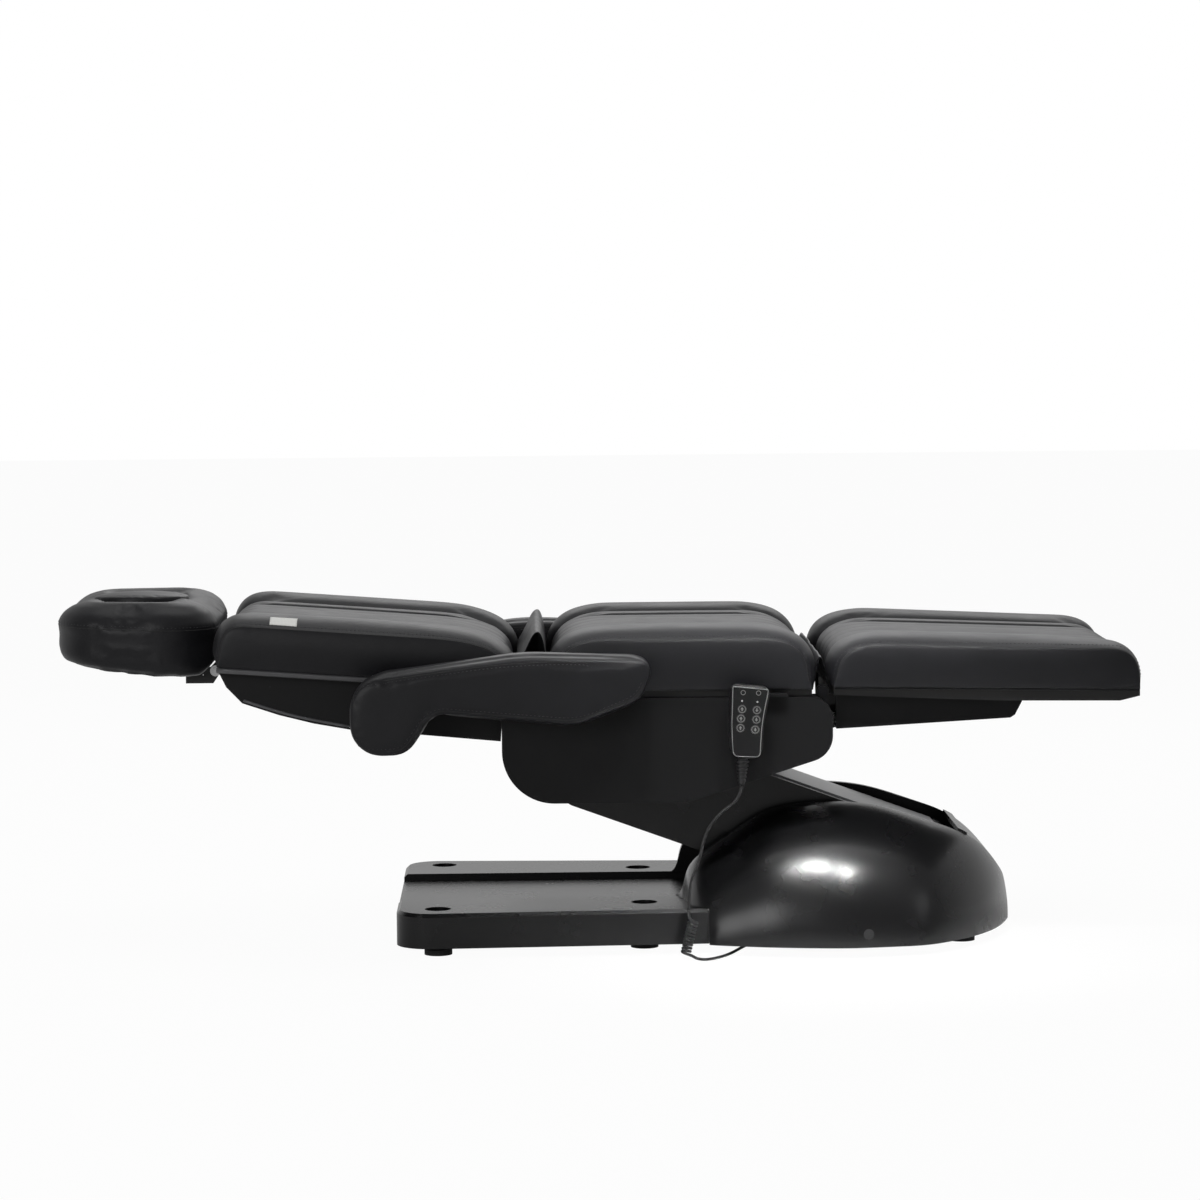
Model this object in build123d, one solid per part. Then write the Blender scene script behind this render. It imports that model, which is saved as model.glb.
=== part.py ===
from build123d import *
import os
from math import atan2, cos, degrees, hypot, pi, radians, sin, sqrt, tan

os.makedirs("parts", exist_ok=True)

# Treatment chair. X runs along the chair, with +X at the foot end, Y across it and Z up.
# The origin is on the floor, below the middle of the whole chair. Millimetres and degrees.

# Driving dimensions of the whole chair
seat_left, seat_right = -68.0, 388.0
seat_top_of_frame = 442.0
chair_middle = 14.0
cushion_half_width = 300.0
board_thickness = 12.0
floor_clearance = 18.0
lift_rest_angle = 20.0
back_travel, leg_travel = 75.0, 35.0
link_length = 600.0

# Clearances and fits
soft_gap = 0.3
running_fit = 0.05
overrun = 5.0
plate = 6.0
cover_wall = 4.0

# Base slab cover
slab_left, slab_joint = -332.0, 203.0
slab_height = 60.0
slab_half_left, slab_half_joint = 320.0, 291.0
slab_corner = 60.0
slab_edge = 12.0
channel_half, channel_depth = 150.0, 12.0
foot_places = ((-261.0, 258.0), (95.0, 205.0))
rear_foot_place = (648.0, 170.0)
foot_hole = 22.5
foot_radius, foot_thickness = 24.0, 10.0
stud_radius = 6.0

# Dome cover: how far along, half width at the floor, height
dome_stations = (
    (142.0, 205.0, 79.0),
    (172.0, 262.0, 122.0),
    (204.0, 306.0, 158.0),
    (247.0, 322.0, 187.0),
    (302.0, 338.0, 222.0),
    (362.0, 349.0, 238.0),
    (440.0, 356.0, 241.0),
    (514.0, 346.0, 231.0),
    (578.0, 328.0, 211.0),
    (614.0, 300.0, 199.0),
    (660.0, 248.0, 180.0),
    (700.0, 184.0, 148.0),
    (730.0, 106.0, 108.0),
    (745.0, 46.0, 58.0),
)
dome_widest, dome_last = dome_stations[6], dome_stations[-3]
slot_half = 138.0
slot_reach, slot_top_reach = 72.0, 38.0
lip_rise, lip_share = 4.0, 0.9
side_plug_radius, side_plug_place = 9.0, (472.0, 41.0)

# Base frame
rail_y = (185.0, 225.0)
rail_z = (24.0, 50.0)
frame_left, frame_right = -281.0, 668.0
cross_member_width = 40.0
floor_plate_left, floor_plate_thickness = 480.0, 6.0
slab_rest_x, dome_bracket_x = (-120.0, -90.0), (425.0, 450.0)

# Control box, inlet and cord gland
control_box_x, control_box_y, control_box_height = (300.0, 460.0), (160.0, 240.0), 58.0
inlet_length, inlet_half = 22.0, (14.0, 11.0)
gland_x, gland_y, gland_low = (300.0, 324.0), (-240.0, -200.0), 3.0
cord_entry = (300.0, -228.0, 9.0)

# Lift linkage: the upper pivot on the base, and how far the lower pivot stands from it
upper_pivot = (610.0, 120.0)
link_offset, link_offset_angle = 70.0, 230.0
pivot_pin_radius = 12.0
bush_radius = 18.0
cheek_y = (92.0, 100.0)
arm_plate_y = (78.0, 86.0)
link_bar_y = (60.0, 68.0)
arm_depth, link_depth = 30.0, 17.0
arm_top_offset, arm_skirt_drop = 57.0, 62.0
arm_cover_half, arm_cover_wall = 125.0, 3.0
arm_cover_end = 510.0
cover_rest_places = (100.0, 385.0)
top_plate_half, top_plate_thickness = 95.0, 3.0
link_cover_half, link_cover_drop, link_cover_rise = 116.0, 44.0, 34.0
link_cover_start, link_cover_end = 175.0, 640.0

# Lift actuator: its pivot on the base, and where the rod meets the arm
lift_motor_pivot = (505.0, 60.0)
lift_rod_reach = 470.0
eye_radius, eye_pin_radius = 20.0, 6.0
lift_eye_clearance = 7.0
lift_tube_share, lift_rod_share = 0.7, 0.38
rod_radius, tube_radius, motor_radius = 9.0, 18.0, 21.0

# Seat frame
seat_rail_y = (225.0, 250.0)
seat_rail_height = 27.0
seat_rail_left, seat_rail_right = -60.0, 372.0
rear_cross, front_cross = (20.0, 50.0), (296.0, 326.0)

# Hinges, and the actuators that hang under the seat
back_hinge = (-95.0, 505.0)
leg_hinge = (402.0, 447.0)
hinge_pin_radius, hinge_head_radius = 6.0, 9.0
ear_half_width = 11.0
inner_ear_y = (240.0, 246.0)
actuator_line = 392.0
back_actuator_y, leg_actuator_y = 170.0, -170.0
crank_slot, crank_rim, crank_half, crank_pin_radius = 11.0, 8.0, 4.0, 5.0
back_motor_x, back_tube_end, back_rod_start = 330.0, 38.0, 232.0
leg_motor_x, leg_tube_end, leg_rod_start = 60.0, 345.0, 180.0
motor_length, gearcase_length, gearcase_top, case_margin = 70.0, 46.0, 22.0, 3.0
clevis_reach, clevis_base = 10.0, (30.0, 38.0)

# Frames of the back and of the leg section
section_rail_y = (215.0, 241.0)
section_rail_depth = 25.0
back_crosses, leg_crosses = ((-595.0, -570.0), (-165.0, -140.0)), ((430.0, 455.0), (688.0, 712.0))
rod_y, head_rod_radius, guide_radius = 95.0, 8.0, 12.0
head_rod_drop, head_rod_length = 14.0, 258.0
guide_x = (-610.0, -420.0)
shell_wall = 3.0
flap, flap_reach = 2.0, 2.3
corner_share, first_rib_share = 0.45, 0.6
back_shell_half, leg_shell_half = 256.0, 249.0
back_shell_points = (
    (-618.0, 464.0), (-591.0, 436.0), (-528.0, 415.0), (-469.0, 400.0), (-408.0, 389.0), (-288.0, 379.0),
    (-150.0, 366.0))
leg_board_points = ((419.0, 443.0), (517.0, 438.0), (713.0, 430.0), (909.0, 428.0), (943.0, 436.0))
leg_shell_points = ((426.0, 381.0), (486.0, 384.0), (725.0, 397.0), (733.0, 402.0), (745.0, 425.0))

# Cushions, their undersides and heights
back_left, back_right = -636.0, -124.0
back_under_left, back_under_right = 503.0, 465.0
leg_left, leg_right = 412.0, 946.0
leg_under_left, leg_under_right = 457.0, 449.0
head_left, head_right = -918.0, -646.0
cushion_draw = 5.0
panel_half, crest_y = 172.0, 232.0
channel_count, channel_rise = 6, 3.0
seat_heights = (87.0, 106.0, 97.0)
back_heights = (72.0, 89.0, 78.0)
leg_heights_left, leg_heights_right = (75.0, 93.0, 82.0), (68.0, 76.0, 69.0)
face_hole = (-785.0, 84.0, 66.0)
plug_rise, plug_crown_radius, plug_gap = 9.0, 500.0, 0.5
seat_rolls, back_rolls, leg_rolls = (125.0, 125.0), (60.0, 170.0), (125.0, 60.0)
roll_angles, roll_roundness = (10.0, 20.0, 34.0, 52.0, 70.0, 90.0), 3.2
end_narrowing = 9.0
head_half_left, head_half_right, head_corner = 196.0, 225.0, 90.0
head_under_left, head_under_right = 500.0, 470.0
chamfer_low, chamfer_high = (-672.0, 470.0), (-645.0, 496.0)
head_levels = ((0.0, 8.0), (0.13, 1.0), (0.45, 4.0), (0.68, 0.0), (0.84, 8.0), (0.95, 24.0), (1.0, 45.0),
               (0.98, 66.0), (0.93, 80.0))
head_top = 600.0
plug_top = head_top + plug_rise
board_inset, head_board_inset, head_board_thickness = 12.0, 26.0, 10.0
tag_x, tag_inset, tag_size, tag_slope, tag_height = -517.0, 21.0, (46.0, 30.0, 0.8), 19.0, 82.0

# Covers under the seat
side_cover_y = (262.0, 290.0)
side_cover_points = ((-148.0, 441.5), (417.0, 441.5), (417.0, 341.0), (168.0, 262.0), (-148.0, 262.0))
side_cover_radii = (12.0, 40.0, 45.0, 150.0, 90.0)

# Armrests
armrest_gap, armrest_width = 12.0, 84.0
armrest_y = (cushion_half_width + armrest_gap, cushion_half_width + armrest_gap + armrest_width)
armrest_pivot = (-347.0, 412.0)
armrest_points = (
    (-405.0, 357.0), (-307.0, 357.0), (-262.0, 426.0), (-18.0, 404.0), (92.0, 448.0), (116.0, 519.0),
    (-110.0, 527.0), (-405.0, 488.0))
armrest_radii = (55.0, 45.0, 40.0, 60.0, 50.0, 24.0, 300.0, 60.0)
armrest_edge = 10.0
hub_radius, hub_flange_radius, hub_pin_radius = 14.0, 26.0, 10.0
hub_y, hub_flange_y, hub_pin_end = (216.0, 306.0), (302.0, 309.0), 352.0

# Hand control
control_y, control_half = -335.0, 12.0
control_points = ((240.0, 470.0), (309.0, 463.0), (296.0, 400.0), (293.0, 341.0), (240.0, 343.0), (237.0, 390.0))
control_radii = (12.0, 14.0, 60.0, 22.0, 22.0, 80.0)
key_places = ((259.0, 427.0), (284.0, 425.0), (257.0, 411.0), (283.0, 409.0), (256.0, 395.0), (281.0, 392.0))
lamp_places = ((259.0, 441.0), (285.0, 439.0))
key_radius, key_gap, key_travel, key_height = 7.2, 0.25, 0.8, 0.6
key_pocket, lamp_radius = 7.0, 1.6
relief_top, relief_radii, relief_ribs = (260.0, 342.0), (11.0, 5.0), 6
hook_x, hook_z = (250.0, 292.0), (426.0, 449.0)

# Cord
cord_diameter = 5.0
curl_radius, curl_pitch, curl_turns = 7.0, 5.6, 10
curl_top, curl_bottom = (174.0, -345.0, 66.0), (160.0, -345.0, 7.0)
floor_stations = (((190.0, -366.0, 4.0), (0.85, 0.5, 0.0)), ((246.0, -290.0, 4.0), (0.5, 0.85, 0.0)))
cord_route = (
    (258.0, -335.0, 297.0),
    (255.0, -335.0, 272.0),
    (222.0, -337.0, 251.0),
    (196.0, -341.0, 218.0),
    (186.0, -343.0, 170.0),
    (166.5, -345.0, 128.0),
    (166.5, -345.0, 86.0),
)


def place(low_high_x, low_high_y, low_high_z):
    """A block between two values along each axis."""
    size = [high - low for low, high in (low_high_x, low_high_y, low_high_z)]
    middle = [(high + low) / 2 for low, high in (low_high_x, low_high_y, low_high_z)]
    return Pos(*middle) * Box(*size)


def slice_y(points, low_high_y, radius=0.0, radii=None):
    """A side outline, as (x, z) points with rounded corners, carried across the chair."""
    low, high = low_high_y
    corners = [(x, low, z) for x, z in points]
    wire = FilletPolyline(*corners, radius=radii or radius, close=True)
    return extrude(make_face(wire), amount=high - low, dir=(0, 1, 0))


def sharp_slice_y(points, low_high_y):
    """A side outline with sharp corners, carried across the chair."""
    low, high = low_high_y
    wire = Polyline(*[(x, low, z) for x, z in points], close=True)
    return extrude(make_face(wire), amount=high - low, dir=(0, 1, 0))


def slice_z(points, low_high_z, radii):
    """A plan outline, as (x, y) points with rounded corners, carried upwards."""
    low, high = low_high_z
    wire = FilletPolyline(*[(x, y, low) for x, y in points], radius=radii, close=True)
    return extrude(make_face(wire), amount=high - low, dir=(0, 0, 1))


def pin_y(centre, radius, low_high_y):
    """A round bar across the chair."""
    low, high = low_high_y
    return Pos(centre[0], (low + high) / 2, centre[1]) * Rot(90, 0, 0) * Cylinder(radius, high - low)


def bar_between(start, end, radius):
    """A round bar between two points."""
    along = Vector(*end) - Vector(*start)
    plane = Plane(origin=start, z_dir=along)
    return plane * Cylinder(radius, along.length, align=(Align.CENTER, Align.CENTER, Align.MIN))


def both_sides(solid):
    """The solid and its mirror image across the chair's middle."""
    return [solid, mirror(solid, Plane.XZ)]


def mirrored(low_high_y):
    """The same stretch on the near side."""
    return -low_high_y[1], -low_high_y[0]


def fused(pieces):
    """One solid from pieces that touch or overlap."""
    whole = pieces[0]
    for piece in pieces[1:]:
        whole = whole + piece
    return whole


def save(name, *solids):
    """Writes one sub-part, which may be several separate solids, moved so that the chair's middle is at X zero."""
    kept = []
    for item in solids:
        kept += [Pos(-chair_middle, 0, 0) * solid for solid in item.solids()]
    shape = kept[0] if len(kept) == 1 else Compound(children=kept)
    export_step(shape, f"parts/{name}.step")


def along(pivot, angle, distance, offset=0.0):
    """A place on a line that leaves pivot to the left and upwards at angle, and its offset above that line."""
    a = radians(angle)
    return (
        pivot[0] - distance * cos(a) + offset * sin(a),
        pivot[1] + distance * sin(a) + offset * cos(a),
    )


# Places of the lift linkage at rest
offset_angle = radians(link_offset_angle)
lower_pivot = (
    upper_pivot[0] + link_offset * cos(offset_angle),
    upper_pivot[1] + link_offset * sin(offset_angle),
)
arm_end = along(upper_pivot, lift_rest_angle, link_length)
link_end = along(lower_pivot, lift_rest_angle, link_length)


def arm_place(distance, offset=0.0):
    return along(upper_pivot, lift_rest_angle, distance, offset)


def link_place(distance, offset=0.0):
    return along(lower_pivot, lift_rest_angle, distance, offset)


# Dome cover
def dome_section(station, wall):
    """One crosswise section of the dome: a floor line, two swelling sides and a level top."""
    x, half, height = station
    half, height = half - wall, height - wall
    flat = min(slot_half + cover_wall - wall, half * 0.5)
    rise = height - floor_clearance
    bulge = cos(pi / 4)
    low = floor_clearance
    side = (flat + (half - flat) * bulge, low + rise * bulge)
    floor_line = low - (overrun if wall else 0)
    edges = [
        Line((x, -half, floor_line), (x, half, floor_line)),
        ThreePointArc((x, half, floor_line), (x, side[0], side[1]), (x, flat, height)),
        Line((x, flat, height), (x, -flat, height)),
        ThreePointArc((x, -flat, height), (x, -side[0], side[1]), (x, -half, floor_line)),
    ]
    return make_face(Wire(edges))


def dome_body(wall):
    inset = [(x, half, height) for x, half, height in dome_stations]
    first, last = inset[0], inset[-1]
    inset[0] = (first[0] + wall, first[1], first[2])
    inset[-1] = (last[0] - wall, last[1], last[2])
    return loft([dome_section(station, wall) for station in inset])


def dome_slot(grow):
    """The slot that the lift arm works in, which ends round the arm's pivot."""
    half = slot_half + grow
    reach = slot_reach + grow
    left = dome_stations[0][0] - overrun
    top = dome_widest[2] + overrun
    across = (-half, half)
    return fused([
        place((left, upper_pivot[0] + slot_top_reach + grow), across, (0, top)),
        place((left, upper_pivot[0] + reach), across, (0, upper_pivot[1])),
        pin_y(upper_pivot, reach, across),
    ])


slab_top = floor_clearance + slab_height


def make_dome():
    outer = dome_body(0.0)
    cavity = dome_body(cover_wall) - dome_slot(cover_wall)
    dome = outer - cavity - dome_slot(0.0)
    dome = dome - place((dome_stations[0][0] - overrun, slab_joint + soft_gap),
                        (-slab_half_left - overrun, slab_half_left + overrun),
                        (0, slab_top + soft_gap))
    dome = dome - place((slab_joint, frame_right + cover_wall), (-rail_y[1] - cover_wall, rail_y[1] + cover_wall),
                        (0, rail_z[1] + cover_wall))
    first = dome_stations[0][0]
    dome = dome - place((first - overrun, first + 2 * overrun), (-slab_half_left, slab_half_left),
                        (0, slab_top + 2 * overrun))
    lip_left = upper_pivot[0] + slot_top_reach
    foot, top = dome_last[2] - cover_wall, upper_pivot[1] + slot_reach
    lip = sharp_slice_y(
        [(lip_left, top), (lip_left, foot), (lip_left + 4 * cover_wall, foot), (lip_left + 4 * cover_wall, top)],
        (-slot_half * lip_share, slot_half * lip_share))
    lip = lip & (Pos(0, 0, lip_rise) * outer) - cavity - dome_slot(0.0)
    return dome, lip


dome, dome_lip = make_dome()
dome = dome + dome_lip
plug_half = dome_widest[1] - 3 * cover_wall
plug_holes = [
    pin_y(side_plug_place, side_plug_radius, (plug_half - 6 * cover_wall, plug_half + 6 * cover_wall)),
]
plug_holes += [mirror(plug_holes[0], Plane.XZ)]
dome_drilled = dome - plug_holes[0] - plug_holes[1]
save("dome_cover", dome_drilled)
dome_bracket = place(dome_bracket_x, (rail_y[1], dome_widest[1] - cover_wall / 2),
                     (rail_z[0], rail_z[0] + plate)) - dome
plugs = [(hole & dome) for hole in plug_holes]
save("side_plugs", *plugs)


# Base slab cover
def slab_outline(inset):
    left, right = slab_left + inset, slab_joint
    near, far = slab_half_left - inset, slab_half_joint - inset
    return [(left, -near), (right, -far), (right, far), (left, near)]


def make_slab():
    corner, square = slab_corner, 0
    outer = slice_z(slab_outline(0.0), (floor_clearance, slab_top), [corner, square, square, corner])
    outer = chamfer(outer.faces().sort_by(Axis.Z)[-1].edges(), slab_edge / 2)
    inner = slice_z(slab_outline(cover_wall), (0, slab_top - channel_depth - cover_wall),
                    [corner - cover_wall, square, square, corner - cover_wall])
    channel = place((slab_left - overrun, slab_joint + overrun), (-channel_half, channel_half),
                    (slab_top - channel_depth, slab_top + overrun))
    slab = outer - inner - channel
    for x, y in foot_places:
        for side in (-1, 1):
            slab = slab - Pos(x, side * y, slab_top) * Cylinder(foot_hole, slab_height)
    return slab


save("base_cover", make_slab())


# Base frame: rails, cross members, floor plate, cheeks and the actuator's lugs
def make_base_frame():
    pieces = both_sides(place((frame_left, frame_right), rail_y, rail_z))
    for x, half in ((foot_places[0][0], foot_places[0][1] + foot_radius),
                    (foot_places[1][0], rail_y[1]), (rear_foot_place[0], rail_y[1])):
        wide = (x - cross_member_width / 2, x + cross_member_width / 2)
        pieces.append(place(wide, (-half, half), rail_z))
    plate_z = (rail_z[0], rail_z[0] + floor_plate_thickness)
    pieces.append(place((floor_plate_left, frame_right), (-rail_y[1], rail_y[1]), plate_z))
    foot = rail_z[0] + floor_plate_thickness / 2
    cheek = slice_y(
        [(lower_pivot[0] - 3 * pivot_pin_radius, foot),
         (lower_pivot[0] - 2 * pivot_pin_radius, lower_pivot[1] + pivot_pin_radius),
         (upper_pivot[0] - 2 * pivot_pin_radius, upper_pivot[1] + 2 * pivot_pin_radius),
         (upper_pivot[0] + 2 * pivot_pin_radius, upper_pivot[1] + 2 * pivot_pin_radius),
         (upper_pivot[0] + 1.6 * pivot_pin_radius, foot)],
        cheek_y, radius=pivot_pin_radius / 2)
    pieces += both_sides(cheek)
    x, z = lift_motor_pivot
    reach = eye_pin_radius * 2
    lug = slice_y([(x - reach, foot), (x - reach, z + reach), (x + reach, z + reach), (x + reach, foot)],
                  (eye_radius - plate, eye_radius), radii=[0, plate, plate, 0])
    pieces += both_sides(lug)
    slab_ceiling = slab_top - channel_depth - cover_wall
    pieces += both_sides(place(slab_rest_x, rail_y, (rail_z[0], slab_ceiling)))
    pieces += both_sides(dome_bracket)
    frame = fused(pieces)
    for pivot in (upper_pivot, lower_pivot):
        frame = frame - pin_y(pivot, pivot_pin_radius, (-cheek_y[1] - overrun, cheek_y[1] + overrun))
    frame = frame - pin_y(lift_motor_pivot, eye_pin_radius, (-eye_radius - overrun, eye_radius + overrun))
    for x, y in feet():
        frame = frame - Pos(x, y, 0) * Cylinder(stud_radius, rail_z[1] * 4)
    return frame


def feet():
    """Where the levelling feet stand."""
    places = foot_places + (rear_foot_place,)
    return [(x, side * y) for x, y in places for side in (-1, 1)]


save("base_frame", make_base_frame())

low_corner = (Align.CENTER, Align.CENTER, Align.MIN)
levelling_feet = []
for x, y in feet():
    pad = Pos(x, y, 0) * Cylinder(foot_radius, foot_thickness, align=low_corner)
    stud = Pos(x, y, 0) * Cylinder(stud_radius, rail_z[1] + foot_thickness / 2, align=low_corner)
    nut = Pos(x, y, foot_thickness) * Cylinder(stud_radius * 2, rail_z[0] - foot_thickness, align=low_corner)
    levelling_feet.append(pad + stud + nut)
save("levelling_feet", *levelling_feet)

pin_half = cheek_y[1] + plate / 2
save("base_pivot_pins",
     pin_y(upper_pivot, pivot_pin_radius, (-pin_half, pin_half)),
     pin_y(lower_pivot, pivot_pin_radius, (-pin_half, pin_half)),
     pin_y(lift_motor_pivot, eye_pin_radius, (-eye_radius, eye_radius)))

# Control box with its inlet, on the far rail, and the cord's gland under the near rail
box_z = (rail_z[1], rail_z[1] + control_box_height)
control_box = place(control_box_x, control_box_y, box_z)
save("control_box", fillet(control_box.edges().filter_by(Axis.Z), plate))


def inlet_block(low_high_x, inset):
    """A block in the middle of the box's end, smaller than the inlet by inset."""
    across, up = inlet_half[0] - inset, inlet_half[1] - inset
    y, z = sum(control_box_y) / 2, sum(box_z) / 2
    return place(low_high_x, (y - across, y + across), (z - up, z + up))


inlet_x = (control_box_x[1], control_box_x[1] + inlet_length)
save("mains_inlet", inlet_block(inlet_x, 0) - inlet_block((sum(inlet_x) / 2, inlet_x[1] + overrun), plate / 2))
save("cord_gland", place(gland_x, gland_y, (gland_low, rail_z[0]))
     - bar_between(cord_entry, (gland_x[1] + overrun, cord_entry[1], cord_entry[2]), cord_diameter / 4))


# Lift arm: side plates joined by bush tubes, a cover, its top plate and flanged bushes
def joined_plates(centre_line, depth, low_high_y, tubes, holes):
    """Two plates along a line of places, joined by cross tubes, with their holes."""
    first, last = centre_line
    direction = Vector(last[0] - first[0], 0, last[1] - first[1]).normalized()
    up = Vector(-direction.Z, 0, direction.X)
    corners = [Vector(first[0], 0, first[1]) - up * depth - direction * depth,
               Vector(last[0], 0, last[1]) - up * depth + direction * depth,
               Vector(last[0], 0, last[1]) + up * depth + direction * depth,
               Vector(first[0], 0, first[1]) + up * depth - direction * depth]
    side = slice_y([(c.X, c.Z) for c in corners], low_high_y, radius=depth * 0.9)
    pieces = both_sides(side)
    inner = low_high_y[0] + plate / 2
    pieces += [pin_y(centre, radius, (-inner, inner)) for centre, radius in tubes]
    whole = fused(pieces)
    for centre, radius in holes:
        whole = whole - pin_y(centre, radius, (-low_high_y[1] - overrun, low_high_y[1] + overrun))
    return whole


rod_pin = arm_place(lift_rod_reach)
arm_brace = arm_place(link_length * 0.55, arm_depth * 0.5)
arm_frame = joined_plates(
    (upper_pivot, arm_end), arm_depth, arm_plate_y,
    [(upper_pivot, bush_radius + plate), (arm_end, bush_radius + plate), (arm_brace, bush_radius * 0.6)],
    [(upper_pivot, bush_radius), (arm_end, bush_radius)])
rod_lug = slice_y([arm_place(lift_rod_reach - eye_radius, -eye_pin_radius * 2),
                   arm_place(lift_rod_reach - eye_radius, arm_depth),
                   arm_place(lift_rod_reach + eye_radius, arm_depth),
                   arm_place(lift_rod_reach + eye_radius, -eye_pin_radius * 2)],
                  (eye_radius - plate, eye_radius), radius=plate)
lug_bridge = slice_y([arm_place(lift_rod_reach - eye_radius, arm_depth * 0.9),
                      arm_place(lift_rod_reach - eye_radius, arm_depth * 0.9 + plate),
                      arm_place(lift_rod_reach + eye_radius, arm_depth * 0.9 + plate),
                      arm_place(lift_rod_reach + eye_radius, arm_depth * 0.9)],
                     (-arm_plate_y[0] - plate / 2, arm_plate_y[0] + plate / 2), radius=plate / 3)
cover_rests = [
    slice_y([arm_place(start, arm_depth * 0.8), arm_place(start + 2 * plate, arm_depth * 0.8),
             arm_place(start + 2 * plate, arm_top_offset - arm_cover_wall),
             arm_place(start, arm_top_offset - arm_cover_wall)], (-arm_plate_y[1], arm_plate_y[1]), radius=0)
    for start in cover_rest_places
]
arm_frame = fused([arm_frame, lug_bridge] + cover_rests + both_sides(rod_lug))
arm_frame = arm_frame + pin_y(rod_pin, eye_pin_radius, (-eye_radius, eye_radius))
save("arm_frame", arm_frame)


def flanged_bush(centre, side):
    """A bush in a plate's hole, with its flange in the gap beside the plate."""
    inner, outer = arm_plate_y
    body = pin_y(centre, bush_radius, (inner - overrun, outer))
    flange = pin_y(centre, bush_radius + plate / 2, (outer, cheek_y[0] - soft_gap))
    bore = pin_y(centre, pivot_pin_radius + running_fit, (inner - 2 * overrun, cheek_y[1]))
    bush = body + flange - bore
    return bush if side > 0 else mirror(bush, Plane.XZ)


save("arm_bushes", *[flanged_bush(centre, side) for centre in (upper_pivot, arm_end) for side in (-1, 1)])


def arm_outline(inset, low):
    """The arm cover's side outline, rounded round the lower pivot, as edges."""
    top = arm_top_offset - inset
    start = arm_place(0, top)
    far = arm_place(arm_cover_end, top)
    return [start, far, arm_place(arm_cover_end, -low), arm_place(arm_top_offset * 0.7, -low)]


def arm_shape(inset, low, low_high_y):
    """The arm cover's solid outline between two values across the chair."""
    y = low_high_y[0]
    points = arm_outline(inset, low)
    radius = arm_top_offset - inset
    tip = (upper_pivot[0] + radius * cos(radians(lift_rest_angle)),
           upper_pivot[1] - radius * sin(radians(lift_rest_angle)))
    mid_angle = radians(45 - lift_rest_angle)
    mid = (upper_pivot[0] + radius * cos(mid_angle), upper_pivot[1] + radius * sin(mid_angle))
    edges = [
        Line((points[0][0], y, points[0][1]), (points[1][0], y, points[1][1])),
        Line((points[1][0], y, points[1][1]), (points[2][0], y, points[2][1])),
        Line((points[2][0], y, points[2][1]), (points[3][0], y, points[3][1])),
        Line((points[3][0], y, points[3][1]), (tip[0], y, tip[1])),
        ThreePointArc((tip[0], y, tip[1]), (mid[0], y, mid[1]), (points[0][0], y, points[0][1])),
    ]
    return extrude(make_face(Wire(edges)), amount=low_high_y[1] - y, dir=(0, 1, 0))


arm_inside = arm_cover_half - arm_cover_wall
arm_cover = arm_shape(0.0, arm_skirt_drop, (-arm_cover_half, arm_cover_half))
arm_cover = arm_cover - arm_shape(arm_cover_wall, arm_skirt_drop + overrun, (-arm_inside, arm_inside))
arm_cover = arm_cover - slice_y(
    [arm_place(arm_cover_end - overrun, 0), arm_place(arm_cover_end + overrun, 0),
     arm_place(arm_cover_end + overrun, arm_top_offset - arm_cover_wall),
     arm_place(arm_cover_end - overrun, arm_top_offset - arm_cover_wall)], (-arm_inside, arm_inside), radius=0)
arm_cover = arm_cover - slice_y(
    [arm_place(-2 * arm_top_offset, 0), arm_place(arm_cover_end + overrun, 0),
     arm_place(arm_cover_end + overrun, -2 * arm_skirt_drop), arm_place(-2 * arm_top_offset, -2 * arm_skirt_drop)],
    (-arm_inside, arm_inside), radius=0)
save("arm_cover", arm_cover)

plate_left, plate_right = arm_cover_end - 2 * overrun, 2 * overrun
top_plate = slice_y(
    [arm_place(plate_right, arm_top_offset), arm_place(plate_left, arm_top_offset),
     arm_place(plate_left, arm_top_offset + top_plate_thickness),
     arm_place(plate_right, arm_top_offset + top_plate_thickness)],
    (-top_plate_half, top_plate_half), radius=0)
save("arm_top_plate", top_plate)

# Lower link: two bars joined by tubes, and its trough-shaped cover
link_brace = link_place(link_length * 0.78, 0)
link_bars = joined_plates(
    (lower_pivot, link_end), link_depth, link_bar_y, [(link_brace, link_depth * 0.7)],
    [(lower_pivot, pivot_pin_radius + running_fit), (link_end, pivot_pin_radius + running_fit)])
save("link_bars", link_bars)


def link_shape(inset, rise, low_high_y):
    low = -link_cover_drop + inset
    start, end = link_cover_start, link_cover_end - inset
    return slice_y([link_place(start, low), link_place(end, low), link_place(end, rise), link_place(start, rise)],
                   low_high_y, radii=[0, link_cover_drop * 0.6, plate, 0])


link_inside = link_cover_half - arm_cover_wall
link_cover = link_shape(0.0, link_cover_rise, (-link_cover_half, link_cover_half))
trough = slice_y([link_place(link_cover_start - overrun, -link_cover_drop + arm_cover_wall),
                  link_place(link_cover_end - arm_cover_wall, -link_cover_drop + arm_cover_wall),
                  link_place(link_cover_end - arm_cover_wall, link_cover_rise + overrun),
                  link_place(link_cover_start - overrun, link_cover_rise + overrun)],
                 (-link_inside, link_inside), radii=[0, link_cover_drop * 0.6 - arm_cover_wall, plate, 0])
end_notch = slice_y([link_place(link_length, -link_depth), link_place(link_cover_end + overrun, -link_depth),
                     link_place(link_cover_end + overrun, link_cover_rise + overrun),
                     link_place(link_length, link_cover_rise + overrun)], (-link_inside, link_inside), radius=0)
link_cover = link_cover - trough - end_notch
link_tabs = [
    slice_y([link_place(t - plate, -link_depth * 0.4), link_place(t + plate, -link_depth * 0.4),
             link_place(t + plate, link_depth * 0.4), link_place(t - plate, link_depth * 0.4)],
            (link_bar_y[1], link_inside + arm_cover_wall / 2), radius=0)
    for t in (link_cover_start + 6 * plate, link_length * 0.7)
]
save("link_cover", fused([link_cover] + [tab for one in link_tabs for tab in both_sides(one)]))


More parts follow.
